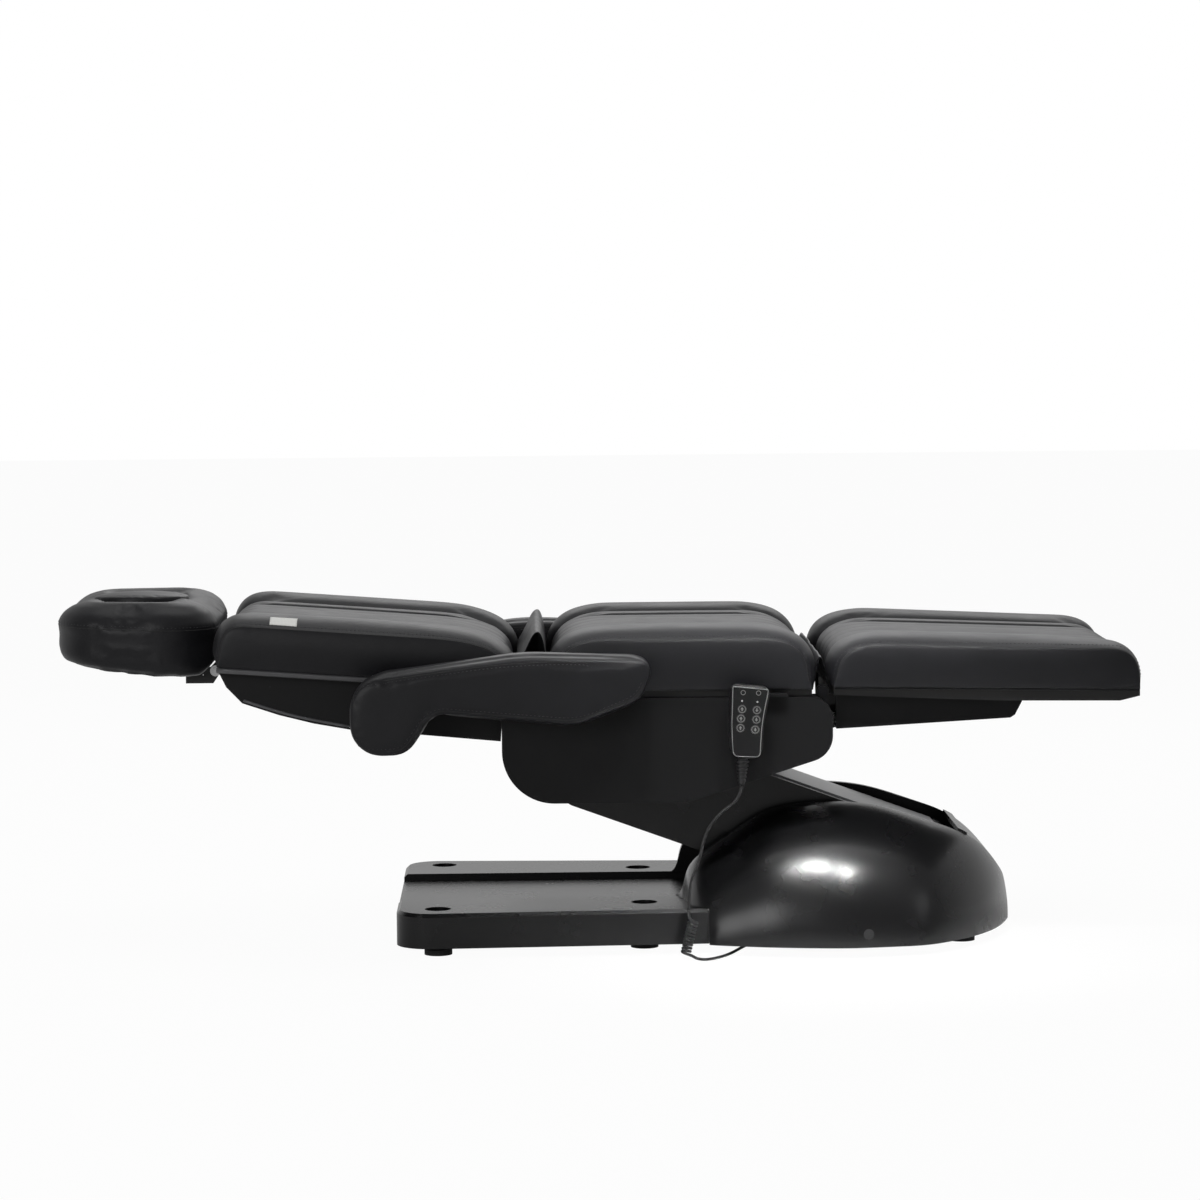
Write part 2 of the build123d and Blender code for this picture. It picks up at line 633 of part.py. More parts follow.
# Actuators: a gearcase with its motor and tube, and a rod that slides in the tube
def actuator_body(tube_end, rear_eye):
    """A linear actuator's fixed half along +X from its rear eye, with its motor beside the tube."""
    case_end = eye_radius + gearcase_length
    motor_drop = motor_radius + tube_radius + case_margin
    case = place((eye_radius, case_end), (-tube_radius - case_margin, tube_radius + case_margin),
                 (-motor_drop - motor_radius - case_margin, gearcase_top))
    case = fillet(case.edges().filter_by(Axis.X), case_margin)
    motor = Pos(case_end, 0, -motor_drop) * Rot(0, 90, 0) * Cylinder(
        motor_radius, motor_length, align=low_corner)
    tube = Pos(eye_radius, 0, 0) * Rot(0, 90, 0) * Cylinder(tube_radius, tube_end - eye_radius, align=low_corner)
    pieces = [case, motor, tube]
    if rear_eye:
        eye_half = eye_radius - plate - case_margin / 3
        pieces.append(pin_y((0, 0), eye_radius * 0.7, (-eye_half, eye_half)))
        pieces.append(place((0, eye_radius + case_margin), (-plate, plate), (-plate, plate)))
    bore = Pos(case_end + case_margin, 0, 0) * Rot(0, 90, 0) * Cylinder(
        rod_radius + running_fit, tube_end, align=low_corner)
    body = fused(pieces) - bore
    if rear_eye:
        body = body - pin_y((0, 0), eye_pin_radius + running_fit, (-eye_radius, eye_radius))
    return body


def slotted_rod(rod_start, pin_distance, slot_half_height, slot_half_width, half_width):
    """The rod along +X and its end eye, whose hole is a slot across the rod."""
    rod = Pos(rod_start, 0, 0) * Rot(0, 90, 0) * Cylinder(
        rod_radius, pin_distance - slot_half_width - rod_start, align=low_corner)
    rim = plate * 0.8
    outer = Pos(pin_distance, 0, 0) * Box(
        2 * (slot_half_width + rim), 2 * half_width, 2 * (slot_half_height + rim))
    outer = fillet(outer.edges().filter_by(Axis.Y), slot_half_width * 0.9)
    hole = Pos(pin_distance, 0, 0) * Box(2 * slot_half_width, 4 * half_width, 2 * slot_half_height)
    hole = fillet(hole.edges().filter_by(Axis.Y), slot_half_width * 0.8)
    return rod + outer - hole


lift_angle = degrees(atan2(rod_pin[1] - lift_motor_pivot[1], lift_motor_pivot[0] - rod_pin[0]))
lift_span = hypot(rod_pin[0] - lift_motor_pivot[0], rod_pin[1] - lift_motor_pivot[1])


def lift_placed(shape):
    """From the actuator's own line to its place on the base, pointing left and upwards."""
    turned = Rot(0, 0, 180) * shape
    return Pos(lift_motor_pivot[0], 0, lift_motor_pivot[1]) * Rot(0, lift_angle, 0) * turned


save("lift_motor", lift_placed(Rot(180, 0, 0) * actuator_body(lift_span * lift_tube_share, True)))
save("lift_rod", lift_placed(slotted_rod(
    lift_span * lift_rod_share, lift_span, eye_pin_radius + lift_eye_clearance, eye_pin_radius + case_margin,
    eye_radius - plate - case_margin)))

# Seat frame: rails, cross members, cheeks down to the linkage, hinge ears and actuator hangers
seat_rail_z = (seat_top_of_frame - seat_rail_height, seat_top_of_frame)
outer_ear_y = (seat_rail_y[1], seat_rail_y[1] + plate)


def ear(hinge, foot_x, foot_z, low_high_y):
    """A hinge ear: a foot beside its rail and an upright with a rounded end round the pin."""
    half = ear_half_width
    x, z = hinge
    upright = slice_y([(x - half, foot_z[0]), (x + half, foot_z[0]), (x + half, z + half), (x - half, z + half)],
                      low_high_y, radii=[0, 0, half * 0.9, half * 0.9])
    return upright + place((min(x, foot_x), max(x, foot_x)), low_high_y, foot_z)


def make_seat_frame():
    left, right = seat_rail_left, seat_rail_right
    pieces = both_sides(place((left, right), seat_rail_y, seat_rail_z))
    for low_high_x in (rear_cross, front_cross):
        pieces.append(place(low_high_x, (-seat_rail_y[1], seat_rail_y[1]), seat_rail_z))
    x0, z0 = link_end
    x1, z1 = arm_end
    half = 2 * pivot_pin_radius
    cheek = sharp_slice_y(
        [(rear_cross[0] - half, seat_rail_z[1]), (x0 - half, z0), (x0 - half * 0.7, z0 - half * 0.9),
         (x0 + half * 0.7, z0 - half * 0.9), (x1 + half * 1.2, z1 - half * 0.6),
         (rear_cross[1] + 2 * half, seat_rail_z[0]), (rear_cross[1] + 2 * half, seat_rail_z[1])], cheek_y)
    pieces += both_sides(cheek)
    pieces += both_sides(place((rear_cross[1], front_cross[0]), cheek_y, seat_rail_z))
    pieces += both_sides(ear(back_hinge, left + 4 * overrun, seat_rail_z, outer_ear_y))
    pieces += both_sides(ear(leg_hinge, right - 4 * overrun, seat_rail_z, outer_ear_y))
    hanger_z = (actuator_line + gearcase_top, seat_rail_z[0] + overrun)
    back_case = (back_motor_x - eye_radius - gearcase_length, back_motor_x - eye_radius)
    leg_case = (leg_motor_x + eye_radius, leg_motor_x + eye_radius + gearcase_length)
    hanger_y = (cheek_y[1] - plate, seat_rail_y[1] - overrun)
    pieces.append(place(back_case, hanger_y, hanger_z))
    pieces.append(place(leg_case, mirrored(hanger_y), hanger_z))
    frame = fused(pieces)
    reach = cheek_y[1] + overrun
    for pivot in (arm_end, link_end):
        frame = frame - pin_y(pivot, pivot_pin_radius, (-reach, reach))
    reach = outer_ear_y[1] + overrun
    for hinge in (back_hinge, leg_hinge):
        frame = frame - pin_y(hinge, hinge_pin_radius + running_fit, (-reach, reach))
    return frame


save("seat_frame", make_seat_frame())
save("seat_pivot_pins",
     pin_y(arm_end, pivot_pin_radius, (-pin_half, pin_half)),
     pin_y(link_end, pivot_pin_radius, (-pin_half, pin_half)))


def hinge_pins(hinge):
    """The two pins of a hinge, each with its head outside the seat's ear."""
    inner, outer = inner_ear_y[0] - plate / 3, outer_ear_y[1] + soft_gap
    pin = pin_y(hinge, hinge_pin_radius, (inner, outer + plate / 3))
    return both_sides(pin + pin_y(hinge, hinge_head_radius, (outer, outer + plate / 2)))


save("back_hinge_pins", *hinge_pins(back_hinge))
save("leg_hinge_pins", *hinge_pins(leg_hinge))

# Back and leg actuators: bodies fixed under the seat, and rods that push the cranks
back_motor = Rot(0, 0, 180) * actuator_body(back_motor_x - back_tube_end, False)
save("back_motor", Pos(back_motor_x, back_actuator_y, actuator_line) * back_motor)
leg_motor = actuator_body(leg_tube_end - leg_motor_x, False)
save("leg_motor", Pos(leg_motor_x, leg_actuator_y, actuator_line) * leg_motor)


def crank_lines(travel):
    """A crank's direction at rest, swung half the travel to +X of straight down, and its side direction."""
    half_turn = radians(travel / 2)
    return Vector(sin(half_turn), 0, -cos(half_turn)), Vector(cos(half_turn), 0, sin(half_turn))


def crank_pin(hinge, travel):
    """The rod pin's place at rest."""
    return hinge[0] + (hinge[1] - actuator_line) * tan(radians(travel / 2)), actuator_line


def clevis_rod(pin, y, start, side):
    """An actuator's rod along X from start to its clevis, which holds a pin across the crank's slot."""
    pin_x = pin[0]
    block = sorted((pin_x + side * clevis_base[0], pin_x + side * clevis_base[1]))
    cheek_x = sorted((pin_x - side * clevis_reach, pin_x + side * clevis_base[1]))
    inner, outer = crank_half + plate / 6, clevis_reach
    high_low = (actuator_line - clevis_reach, actuator_line + clevis_reach)
    pieces = [bar_between((block[1] if side > 0 else block[0], y, actuator_line), (start, y, actuator_line),
                          rod_radius),
              place(block, (y - outer, y + outer), high_low),
              place(cheek_x, (y + inner, y + outer), high_low),
              place(cheek_x, (y - outer, y - inner), high_low),
              pin_y(pin, crank_pin_radius, (y - outer, y + outer))]
    return fused(pieces)


def crank(hinge, travel, y, root, along_frame):
    """A crank plate with its slot, joined to the frame by the root's corners."""
    line, across = crank_lines(travel)
    near = hinge[1] - actuator_line
    far = near / cos(radians(travel / 2))
    origin = Vector(hinge[0], 0, hinge[1])

    def corner(distance, offset):
        spot = origin + line * distance + across * offset
        return spot.X, spot.Z

    half = crank_slot + crank_rim * 0.8
    start, end = near - crank_slot - crank_rim, far + crank_slot + crank_rim
    head = [corner(start, half), corner(end, half), corner(end, -half), corner(start, -half)]
    shape = root[:2] + head + root[2:] if along_frame < 0 else [head[3]] + root + head[1:3]
    low_high_y = (y - crank_half, y + crank_half)
    slot = [corner(near - crank_slot, crank_slot), corner(far + crank_slot, crank_slot),
            corner(far + crank_slot, -crank_slot), corner(near - crank_slot, -crank_slot)]
    wider = (low_high_y[0] - overrun, low_high_y[1] + overrun)
    return sharp_slice_y(shape, low_high_y) - slice_y(slot, wider, radius=crank_slot * 0.9)


back_pin = crank_pin(back_hinge, back_travel)
leg_pin = crank_pin(leg_hinge, leg_travel)
save("back_rod", clevis_rod(back_pin, back_actuator_y, back_rod_start, 1))
save("leg_rod", clevis_rod(leg_pin, leg_actuator_y, leg_rod_start, -1))


# Cushions
def cushion_section(x, under, heights, inset, share):
    """One crosswise section: drawn-in sides, a bolster on each side and a stitched panel between them."""
    seam, crest, panel = [height * share for height in heights]
    width = cushion_half_width - inset
    narrowed = width / cushion_half_width
    crest_at, panel_at = crest_y * narrowed, panel_half * narrowed
    foot, waist = width - cushion_draw, width - cushion_draw * 0.9
    step = 2 * panel_at / channel_count
    edges = [Line((x, -foot, under), (x, foot, under)),
             ThreePointArc((x, foot, under), (x, waist, under + seam * 0.5), (x, width, under + seam)),
             ThreePointArc((x, width, under + seam), (x, crest_at, under + crest), (x, panel_at, under + panel))]
    rise = channel_rise * share
    for i in range(channel_count):
        start, end = panel_at - i * step, panel_at - (i + 1) * step
        edges.append(ThreePointArc((x, start, under + panel), (x, (start + end) / 2, under + panel + rise),
                                   (x, end, under + panel)))
    edges += [ThreePointArc((x, -panel_at, under + panel), (x, -crest_at, under + crest),
                            (x, -width, under + seam)),
              ThreePointArc((x, -width, under + seam), (x, -waist, under + seam * 0.5), (x, -foot, under))]
    return make_face(Wire(edges))


def roll_stations(length):
    """Distances from a cushion's end and the share of its height there, along the end's rounding."""
    power = 2 / roll_roundness
    stations = [(length * (1 - cos(radians(a)) ** power), sin(radians(a)) ** power) for a in roll_angles]
    return [(reach - stations[0][0], share) for reach, share in stations]


def make_cushion(left, right, under_left, under_right, heights_left, heights_right, rolls):
    """A cushion along X, whose two ends roll over."""
    places = [(left + reach, share) for reach, share in roll_stations(rolls[0])]
    places += [(right - reach, share) for reach, share in reversed(roll_stations(rolls[1]))]
    sections = []
    for x, share in places:
        part = (x - left) / (right - left)
        heights = [a + (b - a) * part for a, b in zip(heights_left, heights_right)]
        under = under_left + (under_right - under_left) * part
        sections.append(cushion_section(x, under, heights, end_narrowing * (1 - share), share))
    return loft(sections, ruled=True)


seat_under = seat_top_of_frame + board_thickness
save("seat_cushion",
     make_cushion(seat_left, seat_right, seat_under, seat_under, seat_heights, seat_heights, seat_rolls))
board_half = cushion_half_width - cushion_draw - board_inset
save("seat_board", place((seat_left + board_inset / 2, seat_right - board_inset / 2), (-board_half, board_half),
                         (seat_top_of_frame, seat_under)))
save("back_cushion",
     make_cushion(back_left, back_right, back_under_left, back_under_right, back_heights, back_heights,
                  back_rolls))
save("leg_cushion",
     make_cushion(leg_left, leg_right, leg_under_left, leg_under_right, leg_heights_left, leg_heights_right,
                  leg_rolls))


def back_line(x, drop=0.0):
    """A place under the back cushion, drop below the board's underside."""
    share = (x - back_left) / (back_right - back_left)
    return x, back_under_left + (back_under_right - back_under_left) * share - board_thickness - drop


def leg_line(x, drop=0.0):
    """A place under the leg cushion, drop below its underside."""
    share = (x - leg_left) / (leg_right - leg_left)
    return x, leg_under_left + (leg_under_right - leg_under_left) * share - drop


def leg_board_under(x):
    """The height of the leg board's underside."""
    for (x0, z0), (x1, z1) in zip(leg_board_points, leg_board_points[1:]):
        if x <= x1:
            return z0 + (z1 - z0) * (x - x0) / (x1 - x0)
    return leg_board_points[-1][1]


# Boards under the back and leg cushions
board_left, board_right = back_left + overrun, back_right - overrun
save("back_board", sharp_slice_y(
    [back_line(board_left), back_line(board_right), back_line(board_right, -board_thickness),
     back_line(board_left, -board_thickness)], (-board_half, board_half)))
board_left, board_right = leg_board_points[0][0], leg_board_points[-1][0]
save("leg_board", sharp_slice_y(
    [leg_line(board_left), *leg_board_points, leg_line(board_right)], (-board_half, board_half)))


# Frames of the back and leg section
def make_back_frame():
    low_x, high_x = back_crosses[0][0], back_crosses[1][1]
    rail = sharp_slice_y([back_line(low_x), back_line(high_x), back_line(high_x, section_rail_depth),
                          back_line(low_x, section_rail_depth)], section_rail_y)
    pieces = both_sides(rail)
    reach = section_rail_y[1]
    for x0, x1 in back_crosses:
        pieces.append(sharp_slice_y([back_line(x0), back_line(x1), back_line(x1, section_rail_depth),
                                     back_line(x0, section_rail_depth)], (-reach, reach)))
    x, z = armrest_pivot
    gusset_half = 2 * hub_radius
    gusset_low = z - hub_radius - overrun
    gusset = slice_y([back_line(x - gusset_half, overrun), (x - gusset_half, gusset_low),
                      (x + gusset_half, gusset_low), back_line(x + gusset_half, overrun)],
                     section_rail_y, radii=[0, hub_radius, hub_radius, 0])
    pieces += both_sides(gusset)
    foot_z = (seat_rail_z[1] - 2 * plate, seat_rail_z[1] + plate)
    pieces += both_sides(ear(back_hinge, back_crosses[1][0], foot_z, inner_ear_y))
    for side in (-1, 1):
        start, end = guide_x
        pieces.append(bar_between(head_rod_place(start, side), head_rod_place(end, side), guide_radius))
        brace = (side * rod_y - guide_radius, side * rod_y + guide_radius)
        pieces.append(sharp_slice_y([back_line(start), back_line(end), back_line(end, head_rod_drop),
                                     back_line(start, head_rod_drop)], brace))
    low = seat_rail_z[0]
    root = [(high_x - 2 * plate, seat_rail_z[1] - plate / 3), (high_x, seat_rail_z[1] - plate / 3),
            (high_x, low + plate / 2), (high_x - 2 * plate, low + plate / 2)]
    pieces.append(crank(back_hinge, back_travel, back_actuator_y, root, -1))
    frame = fused(pieces)
    for side in (-1, 1):
        frame = frame - bar_between(head_rod_place(low_x - 4 * guide_radius, side),
                                    head_rod_place(guide_x[1] + guide_radius, side), head_rod_radius + running_fit)
    frame = frame - pin_y(armrest_pivot, hub_radius + running_fit, (-reach - overrun, reach + overrun))
    return frame - pin_y(back_hinge, hinge_pin_radius, (-inner_ear_y[1] - overrun, inner_ear_y[1] + overrun))


def head_rod_place(x, side):
    """A place on a head rod's middle line."""
    along_x, z = back_line(x, head_rod_drop)
    return along_x, side * rod_y, z


save("back_frame", make_back_frame())


def make_leg_frame():
    low_x, high_x = leg_crosses[0][0], leg_crosses[1][1]
    reach = section_rail_y[1]
    low = leg_board_under(high_x) - section_rail_depth
    rail = sharp_slice_y([(low_x, leg_board_under(low_x)), leg_board_points[1],
                          (high_x, leg_board_under(high_x)), (high_x, low), (low_x, low)], section_rail_y)
    pieces = both_sides(rail)
    for x0, x1 in leg_crosses:
        pieces.append(sharp_slice_y([(x0, leg_board_under(x0)), (x1, leg_board_under(x1)), (x1, low), (x0, low)],
                                    (-reach, reach)))
    foot_z = (leg_hinge[1] - 4 * plate, leg_hinge[1] - plate)
    pieces += both_sides(ear(leg_hinge, leg_crosses[0][1], foot_z, inner_ear_y))
    root = [(low_x, leg_board_under(low_x)), (low_x + 3 * plate, leg_board_under(low_x + 3 * plate)),
            (low_x + 3 * plate, low), (low_x + 2 * plate, low)]
    pieces.append(crank(leg_hinge, leg_travel, leg_actuator_y, root, 1))
    frame = fused(pieces)
    return frame - pin_y(leg_hinge, hinge_pin_radius, (-inner_ear_y[1] - overrun, inner_ear_y[1] + overrun))


save("leg_frame", make_leg_frame())


# Shells under the back and the leg section
def pan(points, half, open_ways):
    """A thin shell with the outline's walls and two side walls, open towards each of open_ways."""
    inner_half = half - shell_wall
    outline = make_face(Polyline(*[(x, -inner_half, z) for x, z in points], close=True))
    inside = extrude(offset(outline, -shell_wall), amount=2 * inner_half, dir=(0, 1, 0))
    shell = sharp_slice_y(points, (-half, half)) - inside
    for x, z in open_ways:
        shell = shell - Pos(2 * x * shell_wall, 0, 2 * z * shell_wall) * inside
    return shell


shell_left = back_left + overrun
back_shell = pan([back_line(shell_left), *back_shell_points, back_line(back_shell_points[-1][0])],
                 back_shell_half, ((0, 1), (1, 0), (1, 1)))
back_shell = back_shell - pin_y(armrest_pivot, hub_radius + shell_wall / 2,
                                (-back_shell_half - overrun, back_shell_half + overrun))
for side in (-1, 1):
    back_shell = back_shell - bar_between(head_rod_place(shell_left - guide_radius, side),
                                          head_rod_place(guide_x[0], side), head_rod_radius + shell_wall / 2)
save("back_shell", back_shell)

shell_left, shell_right = leg_board_points[0][0] + overrun, leg_shell_points[-1][0]
leg_shell = pan([(shell_left, leg_board_under(shell_left)), *leg_shell_points,
                 (shell_right, leg_board_under(shell_right)), *reversed(leg_board_points[1:3])],
                leg_shell_half, ((0, 1), (-1, 0), (-1, 1)))
leg_shell = leg_shell - place((leg_board_points[0][0], leg_crosses[0][1]),
                              (leg_actuator_y - 3 * plate, leg_actuator_y + 3 * plate),
                              (actuator_line - 4 * overrun, actuator_line + overrun))
save("leg_shell", leg_shell)


# Side covers under the seat, each held by two blocks on the seat rail
def make_side_cover():
    low, high = side_cover_y
    points = [(x, low, z) for x, z in side_cover_points]
    outline = make_face(FilletPolyline(*points, radius=list(side_cover_radii), close=True))
    inside = extrude(offset(outline, -cover_wall), amount=high - low - cover_wall, dir=(0, 1, 0))
    shell = extrude(outline, amount=high - low, dir=(0, 1, 0)) - inside
    for low_high_x in (rear_cross, front_cross):
        shell = shell + place(low_high_x, (seat_rail_y[1], high - cover_wall / 2),
                              (seat_rail_z[0], seat_rail_z[1] - plate))
    return shell


side_cover = make_side_cover()
save("side_cover_far", side_cover)
save("side_cover_near", mirror(side_cover, Plane.XZ))

# Flaps over the two hinge gaps
flap_half = section_rail_y[0] + 4 * overrun
hx, hz = back_hinge
sewn_edge = seat_left + flap_reach
back_flap = sharp_slice_y(
    [(sewn_edge, hz + overrun), (seat_left - flap, hz + overrun), (hx - flap / 2, hz - 4 * overrun + flap),
     (hx - 4 * overrun, hz - overrun), (hx - 4 * overrun - flap, hz - overrun - flap),
     (hx, hz - 4 * overrun - flap), (sewn_edge, hz - flap)], (-flap_half, flap_half))
leg_flap = place((seat_right, seat_right + flap), (-flap_half, flap_half),
                 (leg_hinge[1] + 3 * overrun, leg_hinge[1] + 10 * overrun))
save("hinge_flaps", back_flap, leg_flap)


# Head section: a hinge on two rods, a board, a cushion with a face opening and its plug
def head_plan(share, inset):
    """A plan outline of the head cushion at a share of its height, on a plane that levels out upwards."""
    middle = (head_left + head_right) / 2
    half_length = (head_right - head_left) / 2 - inset
    low = (head_under_left + head_under_right) / 2
    z = low + (head_top - low) * share
    tilt = atan2(head_under_left - head_under_right, head_right - head_left) * max(0, 1 - 1.2 * share)
    plane = Plane(origin=(middle, 0, z), x_dir=(cos(tilt), 0, -sin(tilt)), z_dir=(sin(tilt), 0, cos(tilt)))
    corner = head_corner - inset
    points = [(-half_length, -head_half_left + inset), (half_length, -head_half_right + inset),
              (half_length, head_half_right - inset), (-half_length, head_half_left - inset)]
    return plane, points, corner


def head_slab(levels):
    faces = []
    for share, inset in levels:
        plane, points, corner = head_plan(share, inset)
        outline = FilletPolyline(*points, radius=corner, close=True)
        faces.append(plane * make_face(outline))
    return loft(faces, ruled=True)


face_x, face_half_x, face_half_y = face_hole
hole = Pos(face_x, 0, head_under_right - 4 * head_board_thickness) * extrude(
    Ellipse(face_half_x, face_half_y), amount=head_top)
under_corner = sharp_slice_y(
    [chamfer_low, (chamfer_low[0], chamfer_low[1] - 4 * overrun), (chamfer_high[0], chamfer_low[1] - 4 * overrun),
     chamfer_high], (-head_half_right, head_half_right))
plane, points, corner = head_plan(0, head_board_inset)
board_outline = plane * make_face(FilletPolyline(*points, radius=corner, close=True))
head_board = extrude(board_outline, amount=head_board_thickness)
save("head_cushion", head_slab(head_levels) - hole - under_corner - head_board)

head_pivot = (head_right - plate / 3, head_rod_place(head_right - plate / 3, 1)[2])
x, z = head_pivot
tongue_y = (rod_y - guide_radius - 2 * plate, rod_y - guide_radius - plate / 6)
low_x, low_z = chamfer_low
tongue_low, tongue_root = z - 4 * plate, low_x - 5 * plate
tongue = pin_y(head_pivot, plate * 1.5, tongue_y) + sharp_slice_y(
    [(tongue_root, low_z + 2 * plate), (low_x, low_z - plate / 2), (x - 1.3 * plate, z + plate),
     (x + plate, z + plate), (x + plate, z - plate), (x - plate, tongue_low), (tongue_root, tongue_low)],
    tongue_y)
head_board = fused([head_board - hole] + both_sides(tongue))
bore_reach = rod_y + guide_radius
head_board = head_board - pin_y(head_pivot, plate + running_fit, (-bore_reach, bore_reach))
save("head_board", head_board)

pieces = [pin_y(head_pivot, plate, (-bore_reach, bore_reach))]
for side in (-1, 1):
    start = head_rod_place(head_pivot[0] + plate, side)
    end = head_rod_place(head_pivot[0] + head_rod_length, side)
    pieces.append(bar_between(start, end, head_rod_radius))
    pieces.append(pin_y(head_pivot, plate * 1.6, (side * rod_y - guide_radius + plate / 3,
                                                 side * rod_y + guide_radius)))
save("head_rods", fused(pieces))

plug_low = head_under_left + 2 * overrun
plug = Pos(face_x, 0, plug_low) * extrude(
    Ellipse(face_half_x - plug_gap, face_half_y - plug_gap), amount=plug_top - plug_low)
save("face_plug", plug & (Pos(face_x, 0, plug_top - plug_crown_radius) * Sphere(plug_crown_radius)))

back_slope = degrees(atan2(back_under_left - back_under_right, back_right - back_left))
tag_z = back_line(tag_x)[1] + board_thickness + tag_height
save("blank_tag", Pos(tag_x, tag_inset - cushion_half_width, tag_z) * Rot(tag_slope, back_slope, 0) * Box(*tag_size))


# Armrests: a hub on each side of the back and a pad that turns on the hub's pin
def make_armrest():
    pad = slice_y(armrest_points, armrest_y, radii=armrest_radii)
    pad = fillet(pad.edges().group_by(Axis.Y)[0] + pad.edges().group_by(Axis.Y)[-1], armrest_edge)
    return pad - pin_y(armrest_pivot, hub_pin_radius + running_fit, (armrest_y[0] - overrun, hub_pin_end + overrun))


def make_hub():
    return fused([pin_y(armrest_pivot, hub_radius, hub_y),
                  pin_y(armrest_pivot, hub_flange_radius, hub_flange_y),
                  pin_y(armrest_pivot, hub_pin_radius, (hub_y[1], hub_pin_end))])


for name, solid in (("armrest", make_armrest()), ("armrest_hub", make_hub())):
    save(f"{name}_far", solid)
    save(f"{name}_near", mirror(solid, Plane.XZ))


# Hand control: two halves of a case, keys in pockets, lamps, a strain relief and its hook
front_face, back_face = control_y - control_half, control_y + control_half
front = slice_y(control_points, (front_face, control_y), radii=control_radii)
front = chamfer(front.edges().group_by(Axis.Y)[0], control_half / 4)
back = slice_y(control_points, (control_y, back_face), radii=control_radii)
back = chamfer(back.edges().group_by(Axis.Y)[-1], control_half / 4)
for centre in key_places:
    front = front - pin_y(centre, key_radius + key_gap, (front_face - overrun, front_face + key_pocket))
for centre in lamp_places:
    front = front - pin_y(centre, lamp_radius, (front_face - overrun, front_face + key_pocket))
save("handset_front", front)
save("handset_back", back)
for number, centre in enumerate(key_places, 1):
    key = pin_y(centre, key_radius, (front_face - key_height, front_face + key_pocket - key_travel - key_gap))
    save(f"key_{number}", key)
save("handset_lamps", *[pin_y(centre, lamp_radius, (front_face - key_gap, front_face + key_pocket))
                        for centre in lamp_places])

cord_start = Vector(*cord_route[0])
relief_start = Vector(relief_top[0], control_y, relief_top[1])
relief_line = cord_start - relief_start
relief_plane = Plane(origin=relief_start, z_dir=relief_line)
relief_wide, relief_thin = relief_radii
relief = relief_plane * Cone(relief_wide - relief_thin / 2, relief_thin, relief_line.length - plate / 6,
                             align=low_corner)
step = relief_line.length / (relief_ribs + 1)
for i in range(relief_ribs):
    share = (i + 1) / (relief_ribs + 1)
    rib_radius = relief_wide + (relief_thin - relief_wide) * share + flap / 2
    rib = Cylinder(rib_radius, step / 2, align=low_corner)
    relief = relief + relief_plane * Pos(0, 0, step * (i + first_rib_share)) * rib
save("strain_relief", relief - (front + back))

cover_face = -side_cover_y[1]
hook = place(hook_x, (cover_face - plate, cover_face), hook_z)
hook = hook + place((hook_x[0], hook_x[0] + 4 * plate), (back_face, cover_face), hook_z)
ledge = (hook_z[1] - plate, hook_z[1])
hook = hook + place((hook_x[0], hook_x[1] + 8 * plate), (cover_face - 3 * plate, cover_face), ledge)
save("handset_hook", hook)


# Cords
def cord_wire(points):
    """Straight runs joined by arcs, each as wide as the shorter of its two runs lets it be."""
    places = [Vector(*p) for p in points]
    radii = [0]
    for before, here, after in zip(places, places[1:], places[2:]):
        first, second = here - before, after - here
        half_turn = radians(first.get_angle(second)) / 2
        radii.append(corner_share * min(first.length, second.length) / tan(half_turn))
    radii.append(0)
    print("cord radii", [round(r, 1) for r in radii[1:-1]])
    return FilletPolyline(*points, radius=radii[1:-1])


def tube(wire, radius):
    """A round tube swept along a wire."""
    start = wire @ 0
    return sweep(Plane(origin=start, z_dir=wire % 0) * Circle(radius), path=wire)


lead_wire = cord_wire(cord_route)
save("cord_lead", tube(lead_wire, cord_diameter / 2))


def biarc(start, start_line, end, end_line):
    """Two arcs that join two places and keep both directions."""
    chord = end - start
    t = start_line + end_line
    spread = 2 * (1 - start_line.dot(end_line))
    reach = (-chord.dot(t) + sqrt(chord.dot(t) ** 2 + spread * chord.dot(chord))) / spread
    middle = (start + start_line * reach + end - end_line * reach) / 2
    middle_line = end - end_line * reach - start - start_line * reach
    return [TangentArc(start, middle, tangent=start_line), TangentArc(middle, end, tangent=middle_line)]


def curl_stations():
    """Places and directions at each quarter turn of the curls, down their leaning axis."""
    top, bottom = Vector(*curl_top), Vector(*curl_bottom)
    axis = (bottom - top).normalized()
    across = Vector(0, -1, 0)
    ahead = axis.cross(across) * -1
    stations = []
    for quarter in range(4 * curl_turns + 1):
        angle = quarter * pi / 2
        place_on = top + axis * (curl_pitch * quarter / 4)
        place_on = place_on + (across * cos(angle) + ahead * sin(angle)) * curl_radius
        line = (ahead * cos(angle) - across * sin(angle)) * curl_radius + axis * (curl_pitch / (2 * pi))
        stations.append((place_on, line.normalized()))
    return stations


def curly_cord():
    down = Vector(0, 0, -1)
    start = Vector(*cord_route[-1])
    below = start + down * cord_diameter
    stations = [(below, down)] + curl_stations()
    stations += [(Vector(*p), Vector(*line).normalized()) for p, line in floor_stations]
    last = Vector(*cord_entry)
    stations.append((last - Vector(cord_diameter, 0, 0), Vector(1, 0, 0)))
    edges = [Line(start, below)]
    for (p, p_line), (q, q_line) in zip(stations, stations[1:]):
        edges += biarc(p, p_line, q, q_line)
    edges.append(Line(stations[-1][0], last))
    return Wire(edges)


def least_self_gap(wire, diameter):
    """The least gap between stretches of a tube that are more than two diameters apart along it."""
    count = int(wire.length)
    spots = [wire @ (i / count) for i in range(count + 1)]
    skip = int(2 * diameter) + 1
    least = min((spots[i] - spots[j]).length
                for i in range(len(spots)) for j in range(i + skip, min(len(spots), i + 12 * skip)))
    return least - diameter


